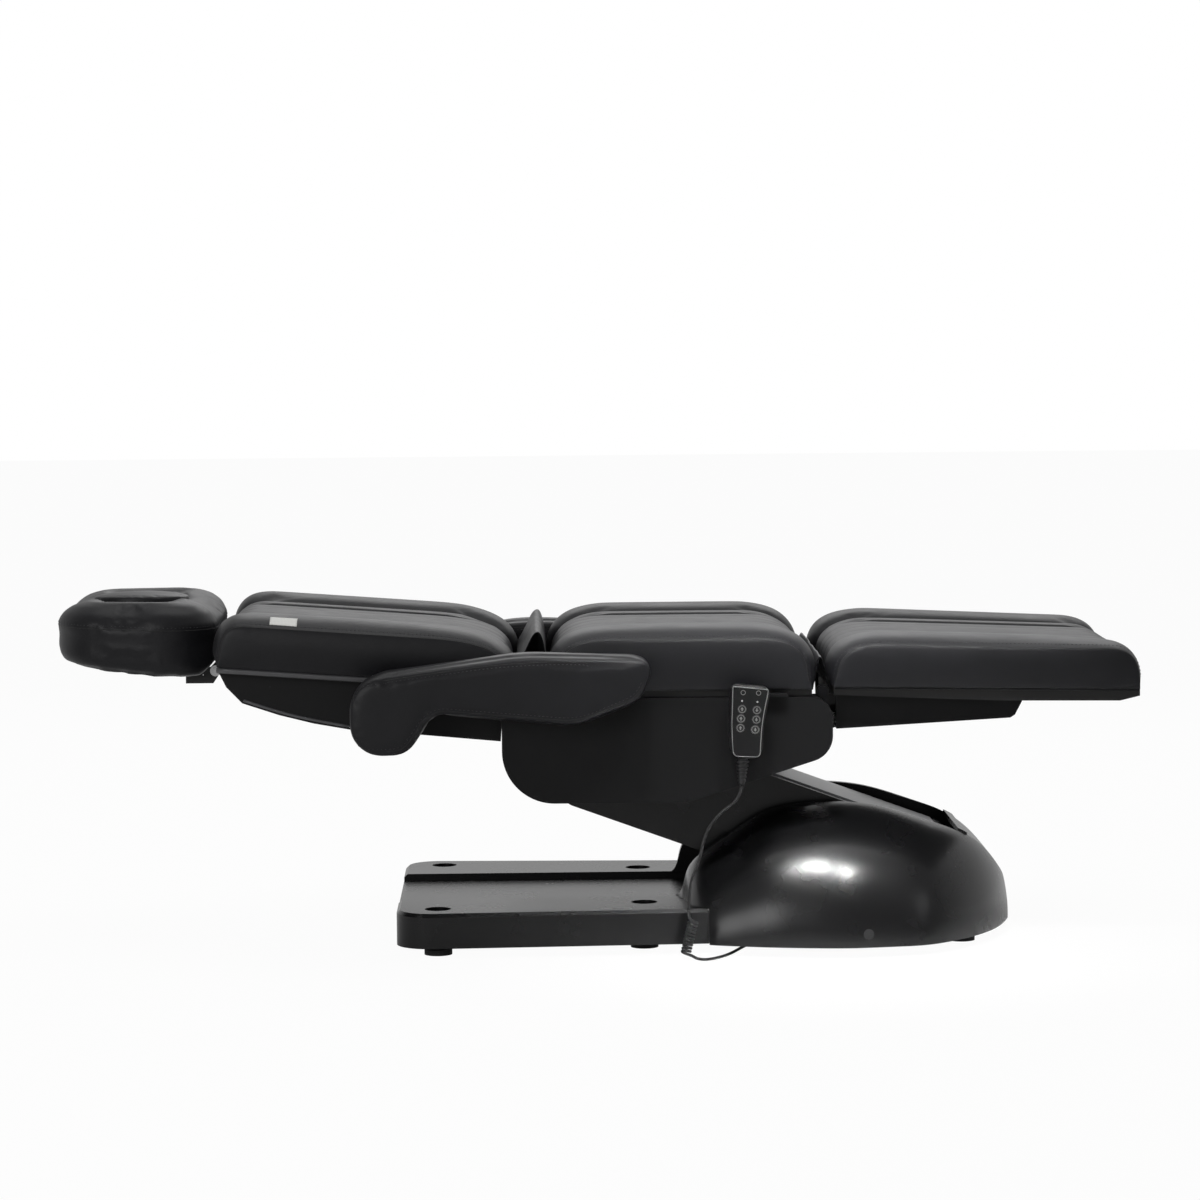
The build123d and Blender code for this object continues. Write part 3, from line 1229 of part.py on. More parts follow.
curly_wire = curly_cord()
save("curly_cord", tube(curly_wire, cord_diameter / 2))
print("curl radius", curl_radius, "least self-gap", round(least_self_gap(curly_wire, cord_diameter), 2))
print("lead length", round(lead_wire.length), "curly length", round(curly_wire.length))
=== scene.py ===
import math

import bpy
import numpy as np
from mathutils import Euler, Matrix, Vector, noise


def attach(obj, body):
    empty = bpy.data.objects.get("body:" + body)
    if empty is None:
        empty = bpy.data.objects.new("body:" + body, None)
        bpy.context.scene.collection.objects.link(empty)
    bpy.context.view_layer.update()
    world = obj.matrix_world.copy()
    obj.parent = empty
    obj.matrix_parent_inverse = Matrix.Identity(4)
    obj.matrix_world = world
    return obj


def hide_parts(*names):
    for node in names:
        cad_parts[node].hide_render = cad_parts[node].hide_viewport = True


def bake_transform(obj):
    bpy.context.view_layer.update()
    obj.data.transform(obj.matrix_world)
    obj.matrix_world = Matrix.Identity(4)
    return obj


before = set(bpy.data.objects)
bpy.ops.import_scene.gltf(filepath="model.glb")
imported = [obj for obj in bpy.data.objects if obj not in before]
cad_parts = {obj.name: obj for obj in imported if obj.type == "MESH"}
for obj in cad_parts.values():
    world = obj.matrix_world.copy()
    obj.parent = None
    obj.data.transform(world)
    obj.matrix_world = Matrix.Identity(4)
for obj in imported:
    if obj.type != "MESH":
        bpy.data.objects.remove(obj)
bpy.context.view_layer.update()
mm = 0.001
bpy.ops.object.select_all(action="DESELECT")
print("frame loaded:", len(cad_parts), "nodes")


# Camera, light and floor

cameraSetup = {
    "place": (-105, -6930, 1136),
    "lens": 117.6,
    "sensor": 36.0,
    "yaw": -0.97,
    "tilt": 85.47,
    "roll": -0.5,
}

cameraData = bpy.data.cameras.new("sideCamera")
cameraData.lens = cameraSetup["lens"]
cameraData.sensor_width = cameraSetup["sensor"]
cameraData.clip_end = 60
sideCamera = bpy.data.objects.new("sideCamera", cameraData)
bpy.context.scene.collection.objects.link(sideCamera)
turns = [Euler((0, 0, math.radians(cameraSetup["yaw"]))), Euler((math.radians(cameraSetup["tilt"]), 0, 0)),
         Euler((0, 0, math.radians(cameraSetup["roll"])))]
turned = turns[0].to_matrix() @ turns[1].to_matrix() @ turns[2].to_matrix()
sideCamera.matrix_world = Matrix.Translation(Vector(cameraSetup["place"]) * mm) @ turned.to_4x4()
bpy.context.scene.camera = sideCamera
bpy.context.scene.view_settings.view_transform = "Standard"


# An sRGB colour, written as on a paint card, in linear light
def hexColour(text):
    parts = [int(text[i:i + 2], 16) / 255 for i in (1, 3, 5)]
    return tuple(c / 12.92 if c < 0.04045 else ((c + 0.055) / 1.055) ** 2.4 for c in parts) + (1.0,)


# Adds one node: plain values and links go to its sockets, the rest are its own settings
def addNode(material, kind, sockets=None, **settings):
    node = material.node_tree.nodes.new(kind)
    for key, value in settings.items():
        setattr(node, key, value)
    for key, value in (sockets or {}).items():
        if isinstance(value, bpy.types.NodeSocket):
            material.node_tree.links.new(value, node.inputs[key])
        else:
            node.inputs[key].default_value = value
    return node


def blankMaterial(name):
    material = bpy.data.materials.new(name)
    material.use_nodes = True
    material.node_tree.nodes.clear()
    return material


studio = {
    "floorSize": 40.0,
    "floorColour": "#f4f4f4",
    "floorShadow": 0.04,
    "worldLight": 0.19,
    "glossNear": 0.05,
    "glossFar": 0.62,
    "lamps": (
        # name, place, aims at, size, watts, spread in degrees
        ("overheadSoftbox", (0.1, -0.1, 3.2), (0.1, 0.0, 0.4), (3.2, 1.6), 34, 180),
        ("frontFill", (-2.4, -4.2, 1.6), (-0.7, 0.0, 0.45), (2.4, 1.6), 22, 110),
        ("rightFill", (3.6, -2.6, 1.8), (0.3, 0.0, 0.3), (1.4, 1.4), 6, 180),
        ("backRim", (0.4, 3.4, 2.4), (0.1, 0.0, 0.5), (3.0, 1.2), 26, 180),
        ("leftSpot", (0.0, -1.7, 3.0), (0.4, -0.3, 0.16), (0.26, 0.17), 1.9, 24),
        ("rightSpot", (0.75, -1.8, 2.6), (0.42, -0.3, 0.16), (0.24, 0.16), 1.2, 24),
    ),
}


# What the camera or a glass sees of the surroundings is plain white, and so is what a gloss sees of the far
# side, where the white backdrop stands; the room on the near side is dim
def seesSurroundings(material, place, nearest, farthest):
    rays = addNode(material, "ShaderNodeLightPath")
    clear = addNode(material, "ShaderNodeMath", {0: rays.outputs["Is Camera Ray"],
                                                 1: rays.outputs["Is Transmission Ray"]}, operation="MAXIMUM")
    parts = addNode(material, "ShaderNodeSeparateXYZ", {0: place})
    farSide = addNode(material, "ShaderNodeMapRange", {"Value": parts.outputs["Y"], "From Min": nearest,
                                                       "From Max": farthest, "To Min": studio["glossNear"],
                                                       "To Max": studio["glossFar"]})
    gloss = addNode(material, "ShaderNodeMath", {0: rays.outputs["Is Glossy Ray"], 1: farSide.outputs[0]},
                    operation="MULTIPLY")
    both = addNode(material, "ShaderNodeMath", {0: clear.outputs[0], 1: gloss.outputs[0]},
                   operation="MAXIMUM")
    return both.outputs[0]


def makeStudio():
    world = bpy.data.worlds.new("paleStudio")
    bpy.context.scene.world = world
    world.use_nodes = True
    world.node_tree.nodes.clear()
    towards = addNode(world, "ShaderNodeTexCoord")
    seen = seesSurroundings(world, towards.outputs["Generated"], -0.25, 0.3)
    dim = addNode(world, "ShaderNodeBackground", {"Color": hexColour("#ffffff"),
                                                     "Strength": studio["worldLight"]})
    bright = addNode(world, "ShaderNodeBackground", {"Color": hexColour("#ffffff"), "Strength": 1.0})
    mixed = addNode(world, "ShaderNodeMixShader", {0: seen, 1: dim.outputs[0], 2: bright.outputs[0]})
    addNode(world, "ShaderNodeOutputWorld", {"Surface": mixed.outputs[0]})

    bpy.ops.mesh.primitive_plane_add(size=studio["floorSize"], location=(0, 0, 0))
    floor = bpy.context.object
    floor.name = "studioFloor"
    pale = blankMaterial("paleFloor")
    spot = addNode(pale, "ShaderNodeNewGeometry")
    seen = seesSurroundings(pale, spot.outputs["Position"], -0.5, 0.4)
    lit = addNode(pale, "ShaderNodeBsdfDiffuse", {"Color": hexColour(studio["floorColour"])})
    white = addNode(pale, "ShaderNodeEmission", {"Color": hexColour("#ffffff"), "Strength": 1.0})
    shown = addNode(pale, "ShaderNodeMixShader", {0: 1 - studio["floorShadow"], 1: lit.outputs[0],
                                                  2: white.outputs[0]})
    mixed = addNode(pale, "ShaderNodeMixShader", {0: seen, 1: lit.outputs[0], 2: shown.outputs[0]})
    addNode(pale, "ShaderNodeOutputMaterial", {"Surface": mixed.outputs[0]})
    floor.data.materials.append(pale)

    for name, place, aim, size, watts, spread in studio["lamps"]:
        lampData = bpy.data.lights.new(name, "AREA")
        lampData.shape = "RECTANGLE"
        lampData.size, lampData.size_y = size
        lampData.energy = watts
        lampData.spread = math.radians(spread)
        lamp = bpy.data.objects.new(name, lampData)
        lamp.location = place
        lamp.rotation_mode = "QUATERNION"
        lamp.rotation_quaternion = (Vector(aim) - Vector(place)).to_track_quat("-Z", "Y")
        bpy.context.scene.collection.objects.link(lamp)


makeStudio()
print("camera and studio made")


# The hand control's cord: a plain lead that turns into curls and goes under the base

cordSetup = {
    "diameter": 5.0,
    "sides": 12,
    "lead": ((244, -335, 297), (241, -335, 272), (208, -337, 251), (182, -341, 218), (172, -343, 170),
             (152.5, -345, 128), (152.5, -345, 86)),
    "curlTop": (160, -345, 66),
    "curlBottom": (146, -345, 7),
    "curlRadius": 7.0,
    "curlPitch": 5.6,
    "curlTurns": 10,
    "curlSteps": 12,
    "onFloor": ((157, -352, 8), (165, -362, 4.5), (178, -366, 3.2), (192, -356, 3), (210, -334, 3),
                (224, -308, 3.2), (235, -284, 4), (248, -255, 5.5), (265, -229, 8.4), (286, -228, 9)),
}


def selectOnly(piece):
    bpy.ops.object.select_all(action="DESELECT")
    bpy.context.view_layer.objects.active = piece
    piece.select_set(True)


# Merges a mesh's doubled corners and turns its faces outwards
def mendMesh(piece, merge=None, outwards=True):
    selectOnly(piece)
    bpy.ops.object.mode_set(mode="EDIT")
    bpy.ops.mesh.select_all(action="SELECT")
    if merge:
        bpy.ops.mesh.remove_doubles(threshold=merge)
    if outwards:
        bpy.ops.mesh.normals_make_consistent(inside=False)
    bpy.ops.object.mode_set(mode="OBJECT")


# A smooth line that has the route's points as its control points
def smoothLine(name, points):
    curve = bpy.data.curves.new(name, "CURVE")
    curve.dimensions = "3D"
    curve.resolution_u = 6
    spline = curve.splines.new("NURBS")
    spline.points.add(len(points) - 1)
    for place, spot in zip(spline.points, points):
        place.co = (*(Vector(spot) * mm), 1.0)
    spline.order_u = 3
    spline.use_endpoint_u = True
    holder = bpy.data.objects.new(name, curve)
    bpy.context.scene.collection.objects.link(holder)
    bpy.context.view_layer.update()
    line = bpy.data.meshes.new_from_object(holder)
    path = [vertex.co.copy() for vertex in line.vertices]
    bpy.data.objects.remove(holder)
    bpy.data.meshes.remove(line)
    return path


def newPiece(name, points, faces):
    mesh = bpy.data.meshes.new(name)
    mesh.from_pydata([tuple(p) for p in points], [], faces)
    mesh.update()
    piece = bpy.data.objects.new(name, mesh)
    bpy.context.scene.collection.objects.link(piece)
    mesh.polygons.foreach_set("use_smooth", [True] * len(mesh.polygons))
    return piece


# Faces of a grid of points in rows
def gridFaces(rows, columns):
    wide = columns + 1
    return [(i * wide + j, (i + 1) * wide + j, (i + 1) * wide + j + 1, i * wide + j + 1)
            for i in range(rows) for j in range(columns)]


# A round tube along a line, with closed ends; closed=True joins its two ends
def tubePiece(name, path, radius, sides, closed=False):
    count = len(path)
    points, faces = [], []
    normal = None
    for i, spot in enumerate(path):
        ahead = path[(i + 1) % count] if closed or i + 1 < count else path[i]
        behind = path[i - 1] if closed or i else path[i]
        tangent = (ahead - behind).normalized()
        if normal is None:
            normal = tangent.orthogonal().normalized()
        normal = (normal - tangent * normal.dot(tangent)).normalized()
        side = tangent.cross(normal)
        for k in range(sides):
            angle = 2 * math.pi * k / sides
            points.append(spot + (normal * math.cos(angle) + side * math.sin(angle)) * radius)
    for i in range(count if closed else count - 1):
        for k in range(sides):
            near, far = i * sides, (i + 1) % count * sides
            faces.append((near + k, near + (k + 1) % sides, far + (k + 1) % sides, far + k))
    if not closed:
        faces += [tuple(reversed(range(sides))), tuple(range((count - 1) * sides, count * sides))]
    return newPiece(name, points, faces)


def curlPoints():
    top, bottom = Vector(cordSetup["curlTop"]), Vector(cordSetup["curlBottom"])
    axis = (bottom - top).normalized()
    across = Vector((0, -1, 0))
    ahead = across.cross(axis)
    spots = []
    for i in range(cordSetup["curlSteps"] * cordSetup["curlTurns"] + 1):
        turn = i / cordSetup["curlSteps"]
        angle = 2 * math.pi * turn
        around = (across * math.cos(angle) + ahead * math.sin(angle)) * cordSetup["curlRadius"]
        spots.append(top + axis * (cordSetup["curlPitch"] * turn) + around)
    return spots


def makeCord():
    lead, radius, sides = cordSetup["lead"], cordSetup["diameter"] / 2 * mm, cordSetup["sides"]
    leadPath = smoothLine("leadLine", lead)
    start = Vector(lead[-1])
    curls = [start, start + Vector((0, 0, -7)), start + Vector((1, -6, -15))]
    curlPath = smoothLine("curlLine", curls + curlPoints() + [Vector(p) for p in cordSetup["onFloor"]])
    plainLead = tubePiece("plainLead", leadPath, radius, sides)
    curledLead = tubePiece("curledLead", curlPath, radius, sides)
    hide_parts("cord_lead")
    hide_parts("curly_cord")
    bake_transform(plainLead)
    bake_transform(curledLead)
    return [plainLead, curledLead]


cordPieces = makeCord()
print("cord made")


# Materials. Each starts from the real one; patterns are worked out from sizes in millimetres

# Puts a principled surface and its output in a new material; the pattern's nodes are linked by the caller
def newFinish(name, colour, roughness, **sockets):
    material = blankMaterial(name)
    shader = addNode(material, "ShaderNodeBsdfPrincipled", {"Base Color": hexColour(colour),
                                                            "Roughness": roughness})
    for socket, value in sockets.items():
        shader.inputs[socket.replace("_", " ")].default_value = value
    addNode(material, "ShaderNodeOutputMaterial", {"Surface": shader.outputs[0]})
    coordinates = addNode(material, "ShaderNodeTexCoord")
    return material, shader, coordinates.outputs["Object"]


def feedShader(material, shader, feeds):
    for socket, output in feeds.items():
        material.node_tree.links.new(output, shader.inputs[socket])


# Repeats per metre of a pattern whose features are this many millimetres apart
def perMetre(spacing):
    return 1000 / spacing


# Coated PVC vinyl on knitted backing, embossed with a leather grain: soft sheen, faint pillows and handling
# marks
def makeVinyl():
    material, shader, place = newFinish("pvcVinylEmbossed", "#151517", 0.46, Specular_IOR_Level=0.26)
    clouds = addNode(material, "ShaderNodeTexNoise", {"Vector": place, "Scale": perMetre(55), "Detail": 4.0})
    tint = addNode(material, "ShaderNodeMix", {0: clouds.outputs[0], 6: hexColour("#141416"),
                                               7: hexColour("#1c1c1f")}, data_type="RGBA")
    gloss = addNode(material, "ShaderNodeMapRange", {"Value": clouds.outputs[0], "To Min": 0.4,
                                                     "To Max": 0.52})
    # the grain's cells are about 1.1 mm across on the real cover, drawn at 2 mm so that they show
    grain = addNode(material, "ShaderNodeTexVoronoi", {"Vector": place, "Scale": perMetre(2.0)})
    pillows = addNode(material, "ShaderNodeTexNoise", {"Vector": place, "Scale": perMetre(38), "Detail": 2.0})
    low = addNode(material, "ShaderNodeBump", {"Height": pillows.outputs[0], "Strength": 0.35,
                                               "Distance": 0.0016})
    high = addNode(material, "ShaderNodeBump", {"Height": grain.outputs["Distance"], "Strength": 0.22,
                                                "Distance": 0.0003, "Normal": low.outputs[0]})
    feedShader(material, shader, {"Base Color": tint.outputs[2], "Roughness": gloss.outputs[0],
                                  "Normal": high.outputs[0]})
    return material


# A moulded or coated surface: its colour and gloss vary slowly, and a fine texture breaks its highlights
def makeTextured(name, colour, paler, roughness, texture, depth, cloud=70, **sockets):
    material, shader, place = newFinish(name, colour, roughness, **sockets)
    clouds = addNode(material, "ShaderNodeTexNoise", {"Vector": place, "Scale": perMetre(cloud),
                                                       "Detail": 3.0})
    tint = addNode(material, "ShaderNodeMix", {0: clouds.outputs[0], 6: hexColour(colour),
                                               7: hexColour(paler)}, data_type="RGBA")
    gloss = addNode(material, "ShaderNodeMapRange", {"Value": clouds.outputs[0], "To Min": roughness - 0.02,
                                                     "To Max": roughness + 0.02})
    fine = addNode(material, "ShaderNodeTexNoise", {"Vector": place, "Scale": perMetre(texture),
                                                     "Detail": 2.0})
    bump = addNode(material, "ShaderNodeBump", {"Height": fine.outputs[0], "Strength": 0.3,
                                                "Distance": depth * mm})
    feedShader(material, shader, {"Base Color": tint.outputs[2], "Roughness": gloss.outputs[0],
                                  "Normal": bump.outputs[0]})
    return material


# Bright steel turned or drawn along the pin: fine rings across it
def makeTurnedSteel(name, colour, roughness, along):
    material, shader, place = newFinish(name, colour, roughness, Metallic=1.0)
    stretch = [perMetre(0.8), perMetre(0.8), perMetre(0.8)]
    stretch[along] = perMetre(14)
    mapped = addNode(material, "ShaderNodeMapping", {"Vector": place, "Scale": stretch})
    lines = addNode(material, "ShaderNodeTexNoise", {"Vector": mapped.outputs[0], "Scale": 1.0,
                                                      "Detail": 2.0})
    gloss = addNode(material, "ShaderNodeMapRange", {"Value": lines.outputs[0], "To Min": roughness - 0.08,
                                                     "To Max": roughness + 0.1})
    bump = addNode(material, "ShaderNodeBump", {"Height": lines.outputs[0], "Strength": 0.15,
                                                "Distance": 0.0001})
    feedShader(material, shader, {"Roughness": gloss.outputs[0], "Normal": bump.outputs[0]})
    return material


# Birch ply faced with black film: the film shows the veneer's long figure faintly
def makeFilmPly():
    material, shader, place = newFinish("filmFacedPly", "#151515", 0.5)
    mapped = addNode(material, "ShaderNodeMapping", {"Vector": place, "Scale": (perMetre(90), perMetre(6),
                                                                             perMetre(1.5))})
    layers = addNode(material, "ShaderNodeTexNoise", {"Vector": mapped.outputs[0], "Scale": 1.0,
                                                       "Detail": 5.0})
    tint = addNode(material, "ShaderNodeMix", {0: layers.outputs[0], 6: hexColour("#0c0c0c"),
                                               7: hexColour("#121111")}, data_type="RGBA")
    bump = addNode(material, "ShaderNodeBump", {"Height": layers.outputs[0], "Strength": 0.2,
                                                "Distance": 0.0003})
    feedShader(material, shader, {"Base Color": tint.outputs[2], "Normal": bump.outputs[0]})
    return material


# Plain weave of white polyester: threads 0.5 mm apart, drawn at 1.2 mm so that they show
def makeLabelCloth():
    material, shader, place = newFinish("polyesterLabelWoven", "#f2f2ef", 0.8, Sheen_Weight=0.2)
    wefts = addNode(material, "ShaderNodeTexWave", {"Vector": place, "Scale": perMetre(1.2) / 6.3},
                    bands_direction="X")
    warps = addNode(material, "ShaderNodeTexWave", {"Vector": place, "Scale": perMetre(1.2) / 6.3},
                    bands_direction="Y")
    weave = addNode(material, "ShaderNodeMath", {0: wefts.outputs["Fac"], 1: warps.outputs["Fac"]},
                    operation="MULTIPLY")
    tint = addNode(material, "ShaderNodeMix", {0: weave.outputs[0], 6: hexColour("#e4e4e0"),
                                               7: hexColour("#f7f7f4")}, data_type="RGBA")
    bump = addNode(material, "ShaderNodeBump", {"Height": weave.outputs[0], "Strength": 0.4,
                                                "Distance": 0.0002})
    feedShader(material, shader, {"Base Color": tint.outputs[2], "Normal": bump.outputs[0]})
    return material


finishes = {
    "vinyl": makeVinyl(),
    # ABS from a spark-eroded tool: satin, with a texture of about 0.4 mm drawn at 1.2 mm
    "abs": makeTextured("absMouldedSatin", "#0a0a0b", "#0c0c0d", 0.27, 1.2, 0.012, Specular_IOR_Level=0.4),
    # the covers under the seat have a softer, more matt moulding
    "softCover": makeTextured("absMouldedMatt", "#0b0b0c", "#0e0e0f", 0.5, 1.4, 0.04, Specular_IOR_Level=0.2),
    "smallPlastic": makeTextured("absMouldedFine", "#0b0b0c", "#0f0f10", 0.42, 0.9, 0.03, cloud=30,
                                 Specular_IOR_Level=0.3),
    "keyRubber": makeTextured("siliconeMoulded", "#131314", "#171718", 0.55, 0.8, 0.03, cloud=12),
    "lampWindow": makeTextured("acrylicClear", "#9a9c9a", "#b4b6b4", 0.16, 2.0, 0.02, cloud=5),
    "cordSheath": makeTextured("pvcCordExtruded", "#121213", "#19191a", 0.44, 1.2, 0.05, cloud=12),
    "footRubber": makeTextured("nitrileRubberMoulded", "#161616", "#1e1e1e", 0.72, 1.5, 0.1, cloud=15),
    # polyester powder coat: the orange peel of the stoved powder
    "powderCoat": makeTextured("steelPowderCoated", "#0b0b0c", "#0e0e0f", 0.42, 2.2, 0.03,
                               Specular_IOR_Level=0.26),
    "armPlate": makeTextured("steelPowderSilver", "#8a8b8e", "#949598", 0.3, 2.2, 0.006, cloud=90),
    "zincSteel": makeTurnedSteel("steelZincPlated", "#c4c4c2", 0.3, 1),
    "rodSteel": makeTurnedSteel("steelHardChromed", "#cfcfd0", 0.18, 0),
    "motorCasting": makeTextured("aluminiumDieCast", "#7c7d7e", "#8b8c8d", 0.5, 1.8, 0.12, cloud=25,
                                 Metallic=1.0),
    "bronze": makeTurnedSteel("bronzeTurned", "#a8814c", 0.35, 1),
    "filmPly": makeFilmPly(),
    "labelCloth": makeLabelCloth(),
    # bonded polyester sewing thread, a shade paler than the cover
    "thread": makeTextured("polyesterThreadTwisted", "#2c2c2e", "#38383a", 0.6, 0.8, 0.1, cloud=6),
    # white ink printed on the hand control's face, in lines thin enough to look mid grey
    "markInk": makeTextured("screenInkPrinted", "#6a6b6a", "#777877", 0.5, 1.5, 0.02, cloud=10),
    # painted shade: the seam pipe, for the thread and folded edge of the seam, is near black to stand for the
    # seam's shadow line
    "seamPaintedShade": makeTextured("pvcVinylSeamPaintedShade", "#050506", "#080809", 0.6, 1.2, 0.05, cloud=20),
    # black zinc on the hinge pins and the shell's screws
    "blackZinc": makeTurnedSteel("steelBlackZinc", "#2b2b2d", 0.38, 1),
    # pale ABS of the bars and rims on the back section
    "paleTrim": makeTextured("absMouldedGrey", "#4a4a4c", "#565658", 0.34, 1.4, 0.02),
}

nodeFinishes = {
    "abs": ("base_cover", "dome_cover", "arm_cover", "link_cover"),
    "softCover": ("side_cover_near", "side_cover_far", "back_shell", "leg_shell"),
    "smallPlastic": ("control_box", "mains_inlet", "cord_gland", "armrest_hub_near",
                     "armrest_hub_far", "handset_front", "handset_back"),
    "keyRubber": tuple(f"key_{number}" for number in range(1, 7)) + ("side_plugs",),
    "lampWindow": ("handset_lamps",),
    "cordSheath": ("strain_relief", "cord_lead", "curly_cord"),
    "footRubber": ("levelling_feet",),
    "powderCoat": ("base_frame", "arm_frame", "link_bars", "seat_frame", "back_frame", "leg_frame",
                   "handset_hook"),
    "armPlate": ("arm_top_plate",),
    "zincSteel": ("base_pivot_pins",),
    "blackZinc": ("seat_pivot_pins", "back_hinge_pins", "leg_hinge_pins"),
    "rodSteel": ("head_rods", "lift_rod", "back_rod", "leg_rod"),
    "motorCasting": ("lift_motor", "back_motor", "leg_motor"),
    "bronze": ("arm_bushes",),
    "filmPly": ("seat_board", "back_board", "leg_board", "head_board"),
    "vinyl": ("seat_cushion", "back_cushion", "leg_cushion", "head_cushion", "face_plug", "armrest_near",
              "armrest_far", "hinge_flaps"),
    "labelCloth": ("blank_tag",),
}


def setFinish(piece, finish):
    if not piece.material_slots:
        piece.data.materials.append(None)
    for slot in piece.material_slots:
        slot.material = finishes[finish]


# A small piece's finish, the body that it rides on and its material slot
def dress(piece, finish, body):
    setFinish(piece, finish)
    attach(piece, body)


for finish, nodes in nodeFinishes.items():
    for node in nodes:
        setFinish(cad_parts[node], finish)
for piece in cordPieces:
    setFinish(piece, "cordSheath")
print("materials made:", len(finishes))


# Upholstered cushions

cushionSetup = {
    "half": 300,
    "draw": 5,
    "crest": 232,
    "panel": 172,
    "channels": 6,
    "channelRise": 0.2,
    "panelGroove": 0.8,
    "boltGroove": 6.5,
    "sideBulge": 5.0,
    "endSteps": 14,
    "topSteps": 58,
    "pressure": 4.0,
    "simFrames": 20,
    "cap": 3.5,
    "fill": 0.85,
    "padFill": 0.9,
    "endMargin": 0.45,
    "endShare": 0.115,
    "easedRows": 5,
    "bolsterPlaces": (300, 298.5, 296, 292, 286, 278, 268, 256, 244, 232, 221, 210, 200, 192, 185, 179.5,
                      175.5, 173.2),
    "channelShares": (0, 0.022, 0.06, 0.12, 0.21, 0.34, 0.5, 0.66, 0.79, 0.88, 0.94, 0.978),
}

# ends, undersides there, heights there of seam, bolster crest and panel, rolls of the two ends and how
# round they are
seatCushionSetup = {
    "ends": (-82, 374), "unders": (454, 454), "heights": ((87, 106, 97), (87, 106, 97)),
    "rolls": (125, 125), "roundness": (3.2, 3.2), "node": "seat_cushion", "body": "seat",
}
backCushionSetup = {
    "ends": (-650, -138), "unders": (503, 465), "heights": ((72, 89, 78), (72, 89, 78)),
    "rolls": (60, 170), "roundness": (3.0, 3.2), "node": "back_cushion", "body": "back",
}
legCushionSetup = {
    "ends": (398, 932), "unders": (457, 449), "heights": ((75, 93, 82), (68, 76, 69)),
    "rolls": (125, 60), "roundness": (3.2, 3.0), "node": "leg_cushion", "body": "leg_section",
}


def between(a, b, share):
    return a + (b - a) * share


# How far the sewn top stands over the panel's level, across the cushion
def reliefAcross(y, seam, crest, panel):
    setup = cushionSetup
    away = abs(y)
    low = panel - setup["boltGroove"]
    if away >= setup["crest"]:
        share = (away - setup["crest"]) / (setup["half"] - setup["crest"])
        return seam + (crest - seam) * (1 - share ** 2.4) ** 0.75 - panel
    if away >= setup["panel"]:
        share = (setup["crest"] - away) / (setup["crest"] - setup["panel"])
        return low + (crest - low) * (1 - share ** 2.6) ** 0.55 - panel
    width = 2 * setup["panel"] / setup["channels"]
    share = (y + setup["panel"]) / width % 1.0
    crown = (1 - abs(2 * share - 1) ** 2.8) ** 0.6
    edge = setup["boltGroove"] if away > setup["panel"] - width / 2 and (share < 0.5) == (y < 0) else \
        setup["panelGroove"]
    return -edge + (edge + setup["channelRise"]) * crown


# Places across the cushion, closer together at the seams
def acrossPlaces():
    setup = cushionSetup
    outer = list(setup["bolsterPlaces"])
    width = 2 * setup["panel"] / setup["channels"]
    inner = [-setup["panel"] + width * (i + share) for i in range(setup["channels"])
             for share in setup["channelShares"]]
    return [-y for y in outer] + inner + [setup["panel"]] + [y for y in reversed(outer)]


# The side outline: up one end, over the top and down the other end, as (x, z, normal x, normal z)
def sideOutline(setup):
    left, right = setup["ends"]
    margin = cushionSetup["endMargin"] * max(a[1] - a[2] for a in setup["heights"])
    left, right = left + margin, right - margin
    dense = []
    for step in range(201):
        angle = math.pi / 2 * step / 200
        power = 2 / setup["roundness"][0]
        dense.append((left + setup["rolls"][0] * (1 - math.cos(angle) ** power), math.sin(angle) ** power))
    for step in range(200, -1, -1):
        angle = math.pi / 2 * step / 200
        power = 2 / setup["roundness"][1]
        dense.append((right - setup["rolls"][1] * (1 - max(math.cos(angle), 0) ** power),
                      math.sin(angle) ** power))
    points = []
    for x, share in dense:
        along = (x - setup["ends"][0]) / (setup["ends"][1] - setup["ends"][0])
        under = between(*setup["unders"], along)
        panel = between(setup["heights"][0][2], setup["heights"][1][2], along)
        points.append((x, under + panel * share))
    return points


# Cuts a line into even steps between two shares of its length
def evenSteps(points, start, end, count):
    points = np.array(points, float)
    lengths = np.concatenate([[0], np.cumsum(np.linalg.norm(np.diff(points, axis=0), axis=1))])
    wanted = np.linspace(start, end, count + 1) * lengths[-1]
    return np.stack([np.interp(wanted, lengths, points[:, k]) for k in range(points.shape[1])], axis=1)


cushions, seamLines = {}, {}


